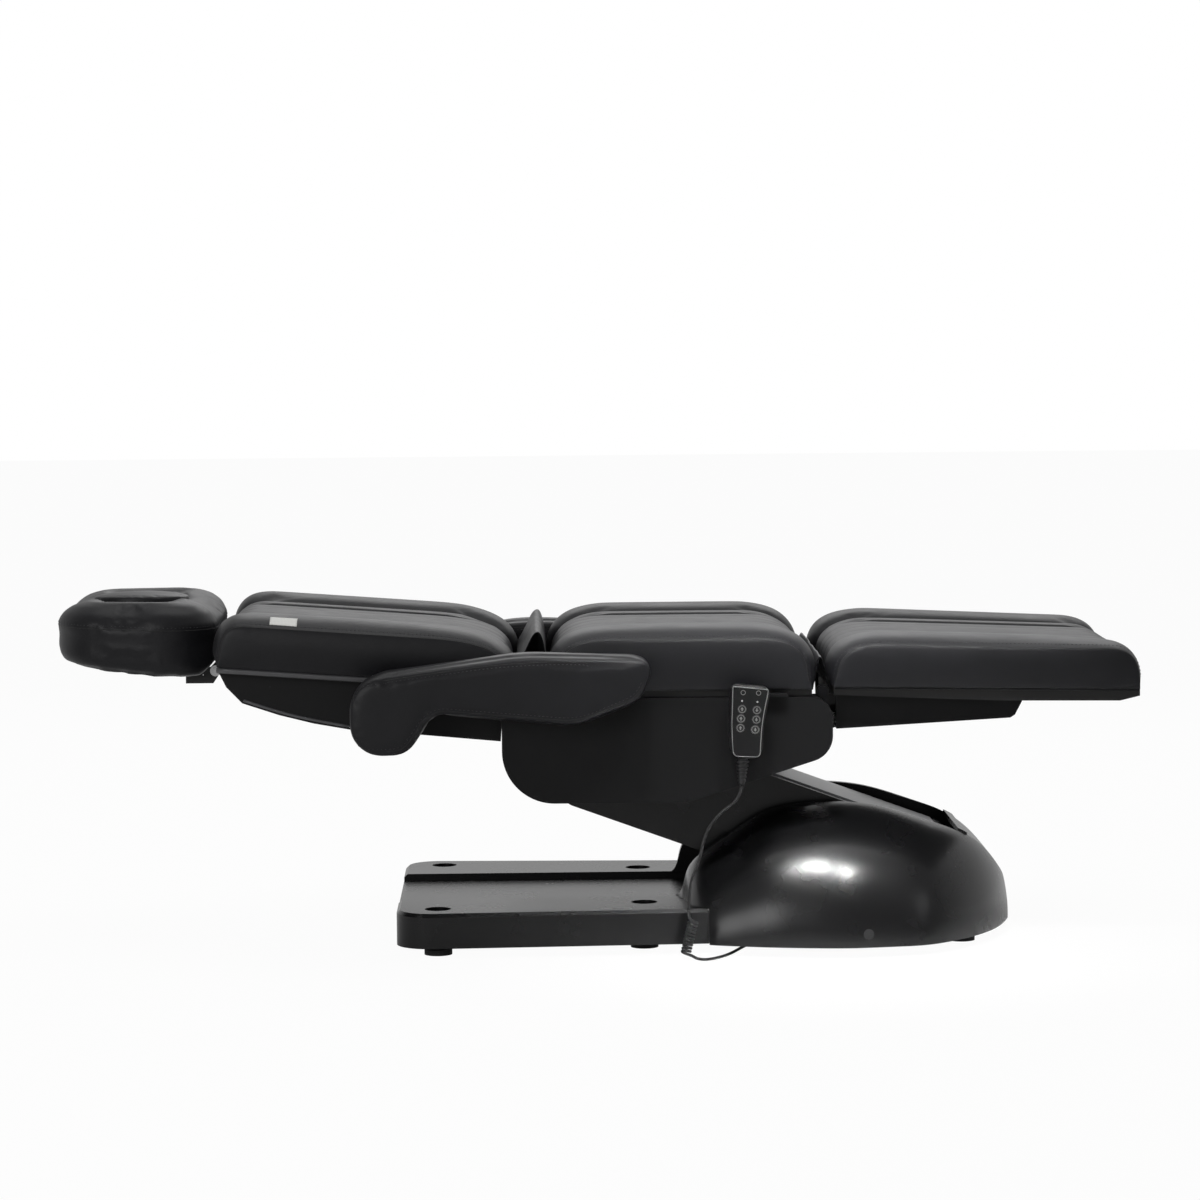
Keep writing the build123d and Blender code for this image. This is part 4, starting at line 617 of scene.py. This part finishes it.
def makeCushion(name, setup):
    shared = cushionSetup
    outline = sideOutline(setup)
    endShare = shared["endShare"]
    parts = [evenSteps(outline, 0, endShare, shared["endSteps"]),
             evenSteps(outline, endShare, 1 - endShare, shared["topSteps"]),
             evenSteps(outline, 1 - endShare, 1, shared["endSteps"])]
    line = np.concatenate([parts[0], parts[1][1:], parts[2][1:]])
    slopes = np.gradient(line, axis=0)
    normals = np.stack([-slopes[:, 1], slopes[:, 0]], axis=1)
    normals /= np.linalg.norm(normals, axis=1)[:, None]
    normals[0], normals[-1] = (-1, 0), (1, 0)
    places = acrossPlaces()
    points, pinned = [], []
    rows = len(places)

    # the sewn top sheet, with its bolsters and channels
    for i, (spot, normal) in enumerate(zip(line, normals)):
        along = (spot[0] - setup["ends"][0]) / (setup["ends"][1] - setup["ends"][0])
        seam, crest, panel = [between(a, b, along) for a, b in zip(*setup["heights"])]
        lift = min(1.0, i / shared["easedRows"], (len(line) - 1 - i) / shared["easedRows"])
        lift = lift * lift * (3 - 2 * lift)
        for y in places:
            relief = reliefAcross(y, seam, crest, panel)
            if i in (0, len(line) - 1):
                relief = min(relief, 0) * 0.5
            relief = relief * (0.35 + 0.65 * lift)
            points.append((spot[0] + normal[0] * relief, y, spot[1] + normal[1] * relief))
    faces = gridFaces(len(line) - 1, rows - 1)
    groove = {j for j, y in enumerate(places) if min(abs((y + shared["panel"]) % (
        2 * shared["panel"] / shared["channels"])), 1) < 1e-6 and abs(y) <= shared["panel"]}
    groove |= {0, rows - 1}
    pinned += [i * rows + j for i in range(len(line)) for j in groove]
    pinned += [j for j in range(rows)] + [(len(line) - 1) * rows + j for j in range(rows)]

    # the two boxing panels, each between its seam and the board
    ends, tops = shared["endSteps"], shared["topSteps"]
    acrossShares = [i / tops for i in range(tops + 1)]
    upShares = [j / ends for j in range(ends + 1)]
    for side in (-1, 1):
        column = 0 if side < 0 else rows - 1
        edge = [Vector(points[i * rows + column]) for i in range(len(line))]
        leftEnd, top, rightEnd = edge[:ends + 1], edge[ends:ends + tops + 1], edge[:ends + tops - 1:-1]
        start = len(points)
        bottom = [leftEnd[0].lerp(rightEnd[0], share) for share in acrossShares]
        for i, u in enumerate(acrossShares):
            for j, v in enumerate(upShares):
                spot = bottom[i] * (1 - v) + top[i] * v + leftEnd[j] * (1 - u) + rightEnd[j] * u
                spot -= leftEnd[0] * (1 - u) * (1 - v) + rightEnd[0] * u * (1 - v)
                spot -= leftEnd[-1] * (1 - u) * v + rightEnd[-1] * u * v
                swell = (4 * u * (1 - u)) ** 0.3 * (4 * v * (1 - v)) ** 0.55
                out = shared["sideBulge"] * swell - shared["draw"] * (1 - v) ** 2 * (4 * u * (1 - u)) ** 0.2
                spot.y = side * (shared["half"] + out)
                points.append(tuple(spot))
        wide = ends + 1
        for quad in gridFaces(tops, ends):
            quad = tuple(start + corner for corner in quad)
            faces.append(quad if side < 0 else quad[::-1])
        pinned += [start + i * wide for i in range(tops + 1)]

    edges = [points[i * rows] for i in range(len(line))]
    seamLines[name] = ([(x, z) for x, _, z in edges][3:-3], normals[3:-3])
    cushion = newPiece(name, [Vector(p) * mm for p in points], faces)
    group = cushion.vertex_groups.new(name="sewn")
    group.add(sorted(set(pinned)), 1.0, "REPLACE")
    mendMesh(cushion, 0.05 * mm, outwards=False)
    return cushion


# Closes the underside, which lies on the board
def closeBottom(piece):
    selectOnly(piece)
    bpy.ops.object.mode_set(mode="EDIT")
    bpy.ops.mesh.select_all(action="DESELECT")
    bpy.ops.mesh.select_mode(type="EDGE")
    bpy.ops.mesh.select_non_manifold()
    bpy.ops.mesh.edge_face_add()
    bpy.ops.mesh.select_mode(type="VERT")
    bpy.ops.mesh.select_all(action="SELECT")
    bpy.ops.mesh.normals_make_consistent(inside=False)
    bpy.ops.object.mode_set(mode="OBJECT")
    piece.select_set(False)


# Blows the padding up a little under its cover, and keeps each point near where it was sewn
def puff(piece, cap, pinGroup=None):
    rest = np.array([v.co for v in piece.data.vertices], float)
    selectOnly(piece)
    cloth = piece.modifiers.new("padding", "CLOTH")
    cloth.settings.use_pressure = True
    cloth.settings.uniform_pressure_force = cushionSetup["pressure"]
    cloth.settings.effector_weights.gravity = 0
    cloth.settings.quality = 4
    if pinGroup:
        cloth.settings.vertex_group_mass = pinGroup
    cloth.point_cache.frame_start, cloth.point_cache.frame_end = 1, cushionSetup["simFrames"]
    for number in range(1, cushionSetup["simFrames"] + 1):
        bpy.context.scene.frame_set(number)
    bpy.ops.object.modifier_apply(modifier=cloth.name)
    bpy.context.scene.frame_set(1)
    now = np.array([v.co for v in piece.data.vertices], float)
    move = now - rest
    far = np.linalg.norm(move, axis=1)
    move *= np.minimum(1, cap * mm / np.maximum(far, 1e-9))[:, None]
    piece.data.vertices.foreach_set("co", (rest + move).ravel())
    piece.data.update()
    piece.select_set(False)


def applyModifiers(piece):
    selectOnly(piece)
    for modifier in list(piece.modifiers):
        bpy.ops.object.modifier_apply(modifier=modifier.name)
    piece.select_set(False)


def subdivide(piece, levels=1):
    modifier = piece.modifiers.new("rounding", "SUBSURF")
    modifier.levels = modifier.render_levels = levels
    applyModifiers(piece)


cushionLooks = {"seatCushion": seatCushionSetup, "backCushion": backCushionSetup,
                "legCushion": legCushionSetup}
for name, setup in cushionLooks.items():
    piece = makeCushion(name, setup)
    puff(piece, cushionSetup["cap"], "sewn")
    subdivide(piece)
    closeBottom(piece)
    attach(piece, setup["body"])
    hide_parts(setup["node"])
    setFinish(piece, "vinyl")
    cushions[name] = piece
    print(name, "made")


# Head cushion, its plug and the armrest pads: each starts from its solid, drawn in and made one skin

padSetup = {
    "headCushion": {"node": "head_cushion", "body": "head", "voxel": 5.0, "drawIn": -1.0, "easing": 14,
                    "cap": 4.0},
    "facePlug": {"node": "face_plug", "body": "plug", "voxel": 3.0, "drawIn": -0.5, "easing": 12, "cap": 1.0},
    "armPadNear": {"node": "armrest_near", "body": "arm_pad_near", "voxel": 4.0, "drawIn": 1.2, "easing": 4,
                   "cap": 2.5},
    "armPadFar": {"node": "armrest_far", "body": "arm_pad_far", "voxel": 4.0, "drawIn": 1.2, "easing": 4,
                  "cap": 2.5},
}


def padFromSolid(name, setup):
    piece = bpy.data.objects.new(name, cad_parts[setup["node"]].data.copy())
    piece.data.name = name
    piece.data.materials.clear()
    bpy.context.scene.collection.objects.link(piece)
    mendMesh(piece, 0.02 * mm)
    piece.data.remesh_voxel_size = setup["voxel"] * mm
    piece.data.remesh_voxel_adaptivity = 0
    bpy.ops.object.voxel_remesh()
    easing = piece.modifiers.new("easing", "SMOOTH")
    easing.iterations = setup["easing"]
    drawn = piece.modifiers.new("drawnIn", "DISPLACE")
    drawn.strength, drawn.mid_level = -setup["drawIn"] * mm, 0.0
    applyModifiers(piece)
    puff(piece, setup["cap"])
    subdivide(piece)
    piece.data.polygons.foreach_set("use_smooth", [True] * len(piece.data.polygons))
    setFinish(piece, "vinyl")
    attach(piece, setup["body"])
    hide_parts(setup["node"])
    return piece


pads = {}
for name, setup in padSetup.items():
    pads[name] = padFromSolid(name, setup)
    print(name, "made,", len(pads[name].data.polygons), "faces")


# Seams and topstitching, laid where lines of sight meet the cover

stitchSetup = {"length": 4.6, "gap": 2.4, "thick": 0.55, "stand": 0.35, "pipe": 0.9, "sink": 0.45,
               "away": 5.0, "sightFrom": 340, "threadSides": 5}


def meetSurface(piece, sights):
    met = []
    for start, aim in sights:
        found, place, normal, _ = piece.ray_cast(Vector(start) * mm, Vector(aim))
        if found:
            met.append((place.copy(), normal.copy()))
    return met


def seamPipe(name, met, body, closed=False):
    path = [place - normal * stitchSetup["sink"] * mm for place, normal in met]
    pipe = tubePiece(name, path, stitchSetup["pipe"] * mm, 8, closed)
    # the pipe's near-black finish is painted shade along the seam
    dress(pipe, "seamPaintedShade", body)


# One spindle of thread for each stitch of the rows
def stitchRows(name, rows, body):
    points, faces = [], []
    sides = stitchSetup["threadSides"]
    step = (stitchSetup["length"] + stitchSetup["gap"]) * mm
    for met in rows:
        spots = np.array([place for place, _ in met], float)
        normals = np.array([normal for _, normal in met], float)
        lengths = np.concatenate([[0], np.cumsum(np.linalg.norm(np.diff(spots, axis=0), axis=1))])

        def along(table, distance):
            return Vector([float(np.interp(distance, lengths, table[:, k])) for k in range(3)])

        for number in range(int(lengths[-1] / step)):
            start = along(spots, number * step)
            end = along(spots, number * step + stitchSetup["length"] * mm)
            normal = along(normals, (number + 0.4) * step).normalized()
            side = (end - start).cross(normal).normalized()
            middle = (start + end) / 2 + normal * stitchSetup["stand"] * mm
            first = len(points)
            points.append(start)
            for k in range(sides):
                angle = 2 * math.pi * k / sides
                points.append(middle + (normal * math.cos(angle) + side * math.sin(angle))
                              * stitchSetup["thick"] * mm)
            points.append(end)
            for k in range(sides):
                after = (k + 1) % sides
                faces.append((first, first + 1 + after, first + 1 + k))
                faces.append((first + sides + 1, first + 1 + k, first + 1 + after))
    row = newPiece(name, points, faces)
    dress(row, "thread", body)


# Seams at both sides of the long cushions, and a stitched row just above each
for name, (line, normals) in seamLines.items():
    setup = cushionLooks[name]
    away = stitchSetup["away"]
    rows = []
    for side, word in ((-1, "Near"), (1, "Far")):
        aim = (0, -side, 0)
        outside = side * stitchSetup["sightFrom"]
        seam = [((x, outside, z), aim) for x, z in line]
        seamPipe(name + "Seam" + word, meetSurface(cushions[name], seam), setup["body"])
        above = [((x + n[0] * away, outside, z + n[1] * away), aim) for (x, z), n in zip(line, normals)]
        rows.append(meetSurface(cushions[name], above))
    stitchRows(name + "Stitches", rows, setup["body"])
print("cushion seams made")


# Points all round a closed outline of straight runs and arcs, as (x, z)
def roundedOutline(corners, radii, steps=8):
    points = []
    count = len(corners)
    for i, corner in enumerate(corners):
        here = Vector(corner)
        before = (Vector(corners[i - 1]) - here)
        after = (Vector(corners[(i + 1) % count]) - here)
        reach = min(radii[i] * 0.6, before.length * 0.45, after.length * 0.45)
        start, end = here + before.normalized() * reach, here + after.normalized() * reach
        for k in range(steps + 1):
            share = k / steps
            points.append(start.lerp(here, share).lerp(here.lerp(end, share), share))
    return points


def drawnInside(points, inset):
    count = len(points)
    area = sum(points[i].x * points[(i + 1) % count].y - points[(i + 1) % count].x * points[i].y
               for i in range(count))
    turn = 1 if area > 0 else -1
    moved = []
    for i, point in enumerate(points):
        ahead = points[(i + 1) % count] - points[i - 1]
        normal = Vector((-ahead.y, ahead.x)).normalized() * turn
        moved.append(point + normal * inset)
    return moved


# Armrests: the seam that joins the side panel to the long strip, 10 mm inside the edge on both faces
armrestSetup = {
    "corners": ((-419, 357), (-321, 357), (-276, 426), (-32, 404), (78, 448), (102, 519),
                (-124, 527), (-419, 488)),
    "radii": (55, 45, 40, 60, 50, 24, 300, 60),
    "seamInset": 10.0,
    "stitchInset": 14.0,
}


def outlineOnPad(piece, side, inset, outer):
    outline = drawnInside(roundedOutline(armrestSetup["corners"], armrestSetup["radii"], 14), inset)
    start = side * (420 if outer else 300)
    aim = (0, -side if outer else side, 0)
    return meetSurface(piece, [((p.x, start, p.y), aim) for p in outline])


for name, side in (("armPadNear", -1), ("armPadFar", 1)):
    body = padSetup[name]["body"]
    rows = []
    for outer, word in ((True, "Outer"), (False, "Inner")):
        seam = outlineOnPad(pads[name], side, armrestSetup["seamInset"], outer)
        seamPipe(name + "Seam" + word, seam, body, closed=True)
        rows.append(outlineOnPad(pads[name], side, armrestSetup["stitchInset"], outer))
    stitchRows(name + "Stitches", rows, body)
print("armrest seams made")


# Head cushion: a seam round its sides a quarter of the way down, and stitches just above it
headSetup = {"middle": (-796, 0), "reach": (190, 280), "seamHeights": (563, 556), "ends": (-932, -660),
             "stitchUp": 5.0, "steps": 160}


def roundHead(up):
    sights = []
    for number in range(headSetup["steps"]):
        angle = 2 * math.pi * number / headSetup["steps"]
        x = headSetup["middle"][0] + headSetup["reach"][0] * math.cos(angle)
        y = headSetup["middle"][1] + headSetup["reach"][1] * math.sin(angle)
        along = (x - headSetup["ends"][0]) / (headSetup["ends"][1] - headSetup["ends"][0])
        z = between(*headSetup["seamHeights"], along) + up
        aim = Vector((headSetup["middle"][0] - x, -y * 0.75, 0)).normalized()
        sights.append(((x, y, z), aim))
    return meetSurface(pads["headCushion"], sights)


seamPipe("headSeam", roundHead(0), "head", closed=True)
stitchRows("headStitches", [roundHead(headSetup["stitchUp"])], "head")
print("head seam made")


# Vinyl flaps that close the two hinge gaps
flapSetup = {
    "back": {"profile": ((-85, 508), (-87, 521), (-90, 536), (-95, 548), (-101, 552), (-108, 546),
                         (-114, 534), (-121, 519), (-130, 503), (-136, 492)),
             "half": 246, "bodies": ("seat", "back"), "start": (-0.086, 0, 0.5), "end": (-0.134, 0, 0.5),
             "rests": ("seatCushion", "backCushion")},
    "leg": {"profile": ((373, 451), (376, 470), (379, 488), (383, 501), (386, 505), (389, 501), (393, 487),
                        (396, 470), (399, 453)),
            "half": 237, "bodies": ("seat", "leg_section"), "start": (0.376, 0, 0.47),
            "end": (0.396, 0, 0.47), "rests": ("seatCushion", "legCushion")},
    "thickness": 1.2,
    "acrossSteps": 40,
    "crease": 2.2,  # height of the small creases, and their spacing along the flap
    "creaseSpacing": 55,
}


def makeFlap(name, setup, node):
    line = smoothLine(name + "Line", [(x, 0, z) for x, z in setup["profile"]])
    steps = flapSetup["acrossSteps"]
    points = []
    for i, spot in enumerate(line):
        free = math.sin(math.pi * i / (len(line) - 1))
        for j in range(steps + 1):
            y = setup["half"] * (2 * j / steps - 1)
            crease = noise.noise(Vector((y / flapSetup["creaseSpacing"], i / 9, len(name))))
            crease = crease * flapSetup["crease"] * free
            points.append((spot.x + crease * 0.4 * mm, y * mm, spot.z + crease * mm))
    flap = newPiece(name, points, [(a, d, c, b) for a, b, c, d in gridFaces(len(line) - 1, steps)])
    thick = flap.modifiers.new("coating", "SOLIDIFY")
    thick.thickness, thick.offset = flapSetup["thickness"] * mm, 0
    applyModifiers(flap)
    setFinish(flap, "vinyl")
    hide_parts(node)
    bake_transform(flap)


makeFlap("backFlap", flapSetup["back"], "hinge_flaps")
makeFlap("legFlap", flapSetup["leg"], "hinge_flaps")


# Bare woven label sewn on the back cushion's near bolster
labelSetup = {"x": (-554, -508), "y": (-292, -263), "stand": 0.5, "thickness": 0.6, "columns": 12,
              "rows": 8}


def makeLabel():
    setup = labelSetup
    columns, rows = setup["columns"], setup["rows"]
    points = []
    for i in range(columns + 1):
        for j in range(rows + 1):
            x, y = between(*setup["x"], i / columns), between(*setup["y"], j / rows)
            found = meetSurface(cushions["backCushion"], [((x, y, 700), (0, 0, -1))])
            place, normal = found[0]
            points.append(place + normal * setup["stand"] * mm)
    label = newPiece("bareLabel", points, gridFaces(columns, rows))
    thick = label.modifiers.new("cloth", "SOLIDIFY")
    thick.thickness, thick.offset = setup["thickness"] * mm, 0
    applyModifiers(label)
    setFinish(label, "labelCloth")
    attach(label, "back")
    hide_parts("blank_tag")


makeLabel()


# Hand control: the pale band round its face, two rings at its top, and a ring and an arrow on each key
controlSetup = {
    "corners": ((226, 470), (295, 463), (282, 400), (279, 341), (226, 343), (223, 390)),
    "radii": (12, 14, 60, 22, 22, 80),
    "face": -347.0,
    "bandInset": 4.2,
    "bandRadius": 0.75,
    "rings": ((247, 455), (273, 454)),
    "ringRadius": 4.2,
    "keys": ((245, 427), (270, 425), (243, 411), (269, 409), (242, 395), (267, 392)),
    "keyStand": 0.6,
    "keyRing": 6.3,
    "inkHeight": 0.25,
}


# A flat ring of ink facing the camera's side: a circle extruded inwards and given its thickness
def inkRing(name, centre, face, outer, width):
    bpy.ops.object.select_all(action="DESELECT")
    bpy.ops.mesh.primitive_circle_add(vertices=40, radius=outer * mm, fill_type="NOTHING",
                                      location=(centre[0] * mm, face * mm, centre[1] * mm),
                                      rotation=(math.pi / 2, 0, 0))
    ring = bpy.context.object
    ring.name = name
    bpy.ops.object.transform_apply(location=True, rotation=True, scale=True)
    bpy.ops.object.mode_set(mode="EDIT")
    bpy.ops.mesh.select_all(action="SELECT")
    bpy.ops.mesh.extrude_edges_move()
    share = (outer - width) / outer
    bpy.ops.transform.resize(value=(share, share, share),
                             center_override=(centre[0] * mm, face * mm, centre[1] * mm))
    bpy.ops.mesh.select_all(action="SELECT")
    bpy.ops.mesh.normals_make_consistent(inside=False)
    bpy.ops.object.mode_set(mode="OBJECT")
    thick = ring.modifiers.new("ink", "SOLIDIFY")
    thick.thickness, thick.offset = controlSetup["inkHeight"] * mm, 0
    applyModifiers(ring)
    return ring


# A flat printed shape from its corners, as (x, z) round the centre
def inkShape(name, centre, face, corners):
    half = controlSetup["inkHeight"] / 2
    count = len(corners)
    points = [((centre[0] + x) * mm, (face + y) * mm, (centre[1] + z) * mm) for y in (-half, half)
              for x, z in corners]
    faces = [tuple(range(count)), tuple(reversed(range(count, 2 * count)))]
    faces += [(i, i + count, (i + 1) % count + count, (i + 1) % count) for i in range(count)]
    shape = newPiece(name, points, faces)
    mendMesh(shape)
    shape.data.polygons.foreach_set("use_smooth", [False] * len(shape.data.polygons))
    return shape


def finishMark(mark, body):
    dress(mark, "markInk", body)


def makeControlMarks():
    setup = controlSetup
    outline = drawnInside(roundedOutline(setup["corners"], setup["radii"]), setup["bandInset"])
    path = [Vector((p.x, setup["face"], p.y)) * mm for p in outline]
    band = tubePiece("controlBand", path, setup["bandRadius"] * mm, 8, closed=True)
    finishMark(band, "seat")
    for number, centre in enumerate(setup["rings"], 1):
        ring = inkRing(f"controlRing{number}", centre, setup["face"] - 0.1, setup["ringRadius"], 1.0)
        finishMark(ring, "seat")
    arrow = ((-2.6, -0.2), (-0.9, -0.2), (-0.9, -3.2), (0.9, -3.2), (0.9, -0.2), (2.6, -0.2), (0, 3.4))
    for number, centre in enumerate(setup["keys"], 1):
        body = f"key_body_{number}"
        face = setup["face"] - setup["keyStand"]
        finishMark(inkRing(f"keyRing{number}", centre, face, setup["keyRing"], 0.9), body)
        flip = 1 if number % 2 else -1
        corners = [(x * flip, z * flip) for x, z in arrow]
        finishMark(inkShape(f"keyArrow{number}", centre, face, corners), body)


makeControlMarks()
print("hand control marked")


# Trim: a pale satin bar along the back board's edge, a thin rim low on the back's shell, a vinyl piping along
# the top of the leg section's board and a rubber gasket where the slab's cover meets the dome
trimSetup = {
    "backBar": ((-646, 496.5), (-560, 490.3), (-480, 484.4), (-400, 478.4), (-330, 473.2)),
    "backY": 281.5,
    "backRadius": 5.4,
    "lowY": 255.5,
    "lowRim": ((-603, 441), (-542, 420), (-483, 405.5), (-422, 394.5)),
    "lowRadius": 2.6,
    "screw": (-557, 464),
    "screwY": 256.6,
    "screwRadius": 3.2,
    "screwDepth": 2.4,
    "piping": ((407, 454.5), (600, 451.5), (800, 448.5), (927, 446.6)),
    "pipingY": 282.4,
    "pipingRadius": 2.2,
    "gasket": ((291, 19), (291, 45), (291, 70), (288.5, 76.5), (282, 78.4), (260, 78.6), (200, 78.6)),
    "gasketX": 189.6,
    "gasketRadius": 1.4,
}


def trimTube(name, line, y, radius, sides):
    return tubePiece(name, smoothLine(name + "Line", [(x, y, z) for x, z in line]), radius * mm, sides)


def makeTrim():
    setup = trimSetup
    for side, word in ((-1, "Near"), (1, "Far")):
        bar = trimTube("trimBar" + word, setup["backBar"], setup["backY"] * side, setup["backRadius"], 16)
        dress(bar, "paleTrim", "back")
        rim = trimTube("lowRim" + word, setup["lowRim"], setup["lowY"] * side, setup["lowRadius"], 16)
        dress(rim, "paleTrim", "back")
        piping = trimTube("legPiping" + word, setup["piping"], setup["pipingY"] * side,
                          setup["pipingRadius"], 12)
        dress(piping, "vinyl", "leg_section")
        route = [(setup["gasketX"], side * y, z) for y, z in setup["gasket"]]
        gasket = tubePiece("jointGasket" + word, smoothLine("gasketLine", route),
                           setup["gasketRadius"] * mm, 12)
        dress(gasket, "footRubber", "base")


makeTrim()


# The shell's side screw: a low button head with its driver recess
def makeScrew(name, centre, face, side):
    bpy.ops.object.select_all(action="DESELECT")
    bpy.ops.mesh.primitive_cylinder_add(vertices=24, radius=trimSetup["screwRadius"] * mm,
                                        depth=trimSetup["screwDepth"] * mm,
                                        location=(centre[0] * mm, face * mm, centre[1] * mm),
                                        rotation=(math.pi / 2 * side, 0, 0))
    screw = bpy.context.object
    screw.name = name
    bpy.ops.object.transform_apply(location=True, rotation=True, scale=True)
    outside = max(screw.data.polygons, key=lambda f: f.center.y * side if len(f.vertices) > 4 else -1)
    for polygon in screw.data.polygons:
        polygon.select = polygon.index == outside.index
    bpy.ops.object.mode_set(mode="EDIT")
    bpy.ops.mesh.select_mode(type="FACE")
    bpy.ops.mesh.inset(thickness=1.6 * mm, depth=0)
    bpy.ops.mesh.inset(thickness=0.1 * mm, depth=-1.2 * mm)
    bpy.ops.object.mode_set(mode="OBJECT")
    bevel = screw.modifiers.new("softEdges", "BEVEL")
    bevel.width, bevel.segments = 0.35 * mm, 2
    applyModifiers(screw)
    dress(screw, "blackZinc", "back")


for side, word in ((-1, "Near"), (1, "Far")):
    makeScrew("shellScrew" + word, trimSetup["screw"], side * trimSetup["screwY"], side)
print("trim made")
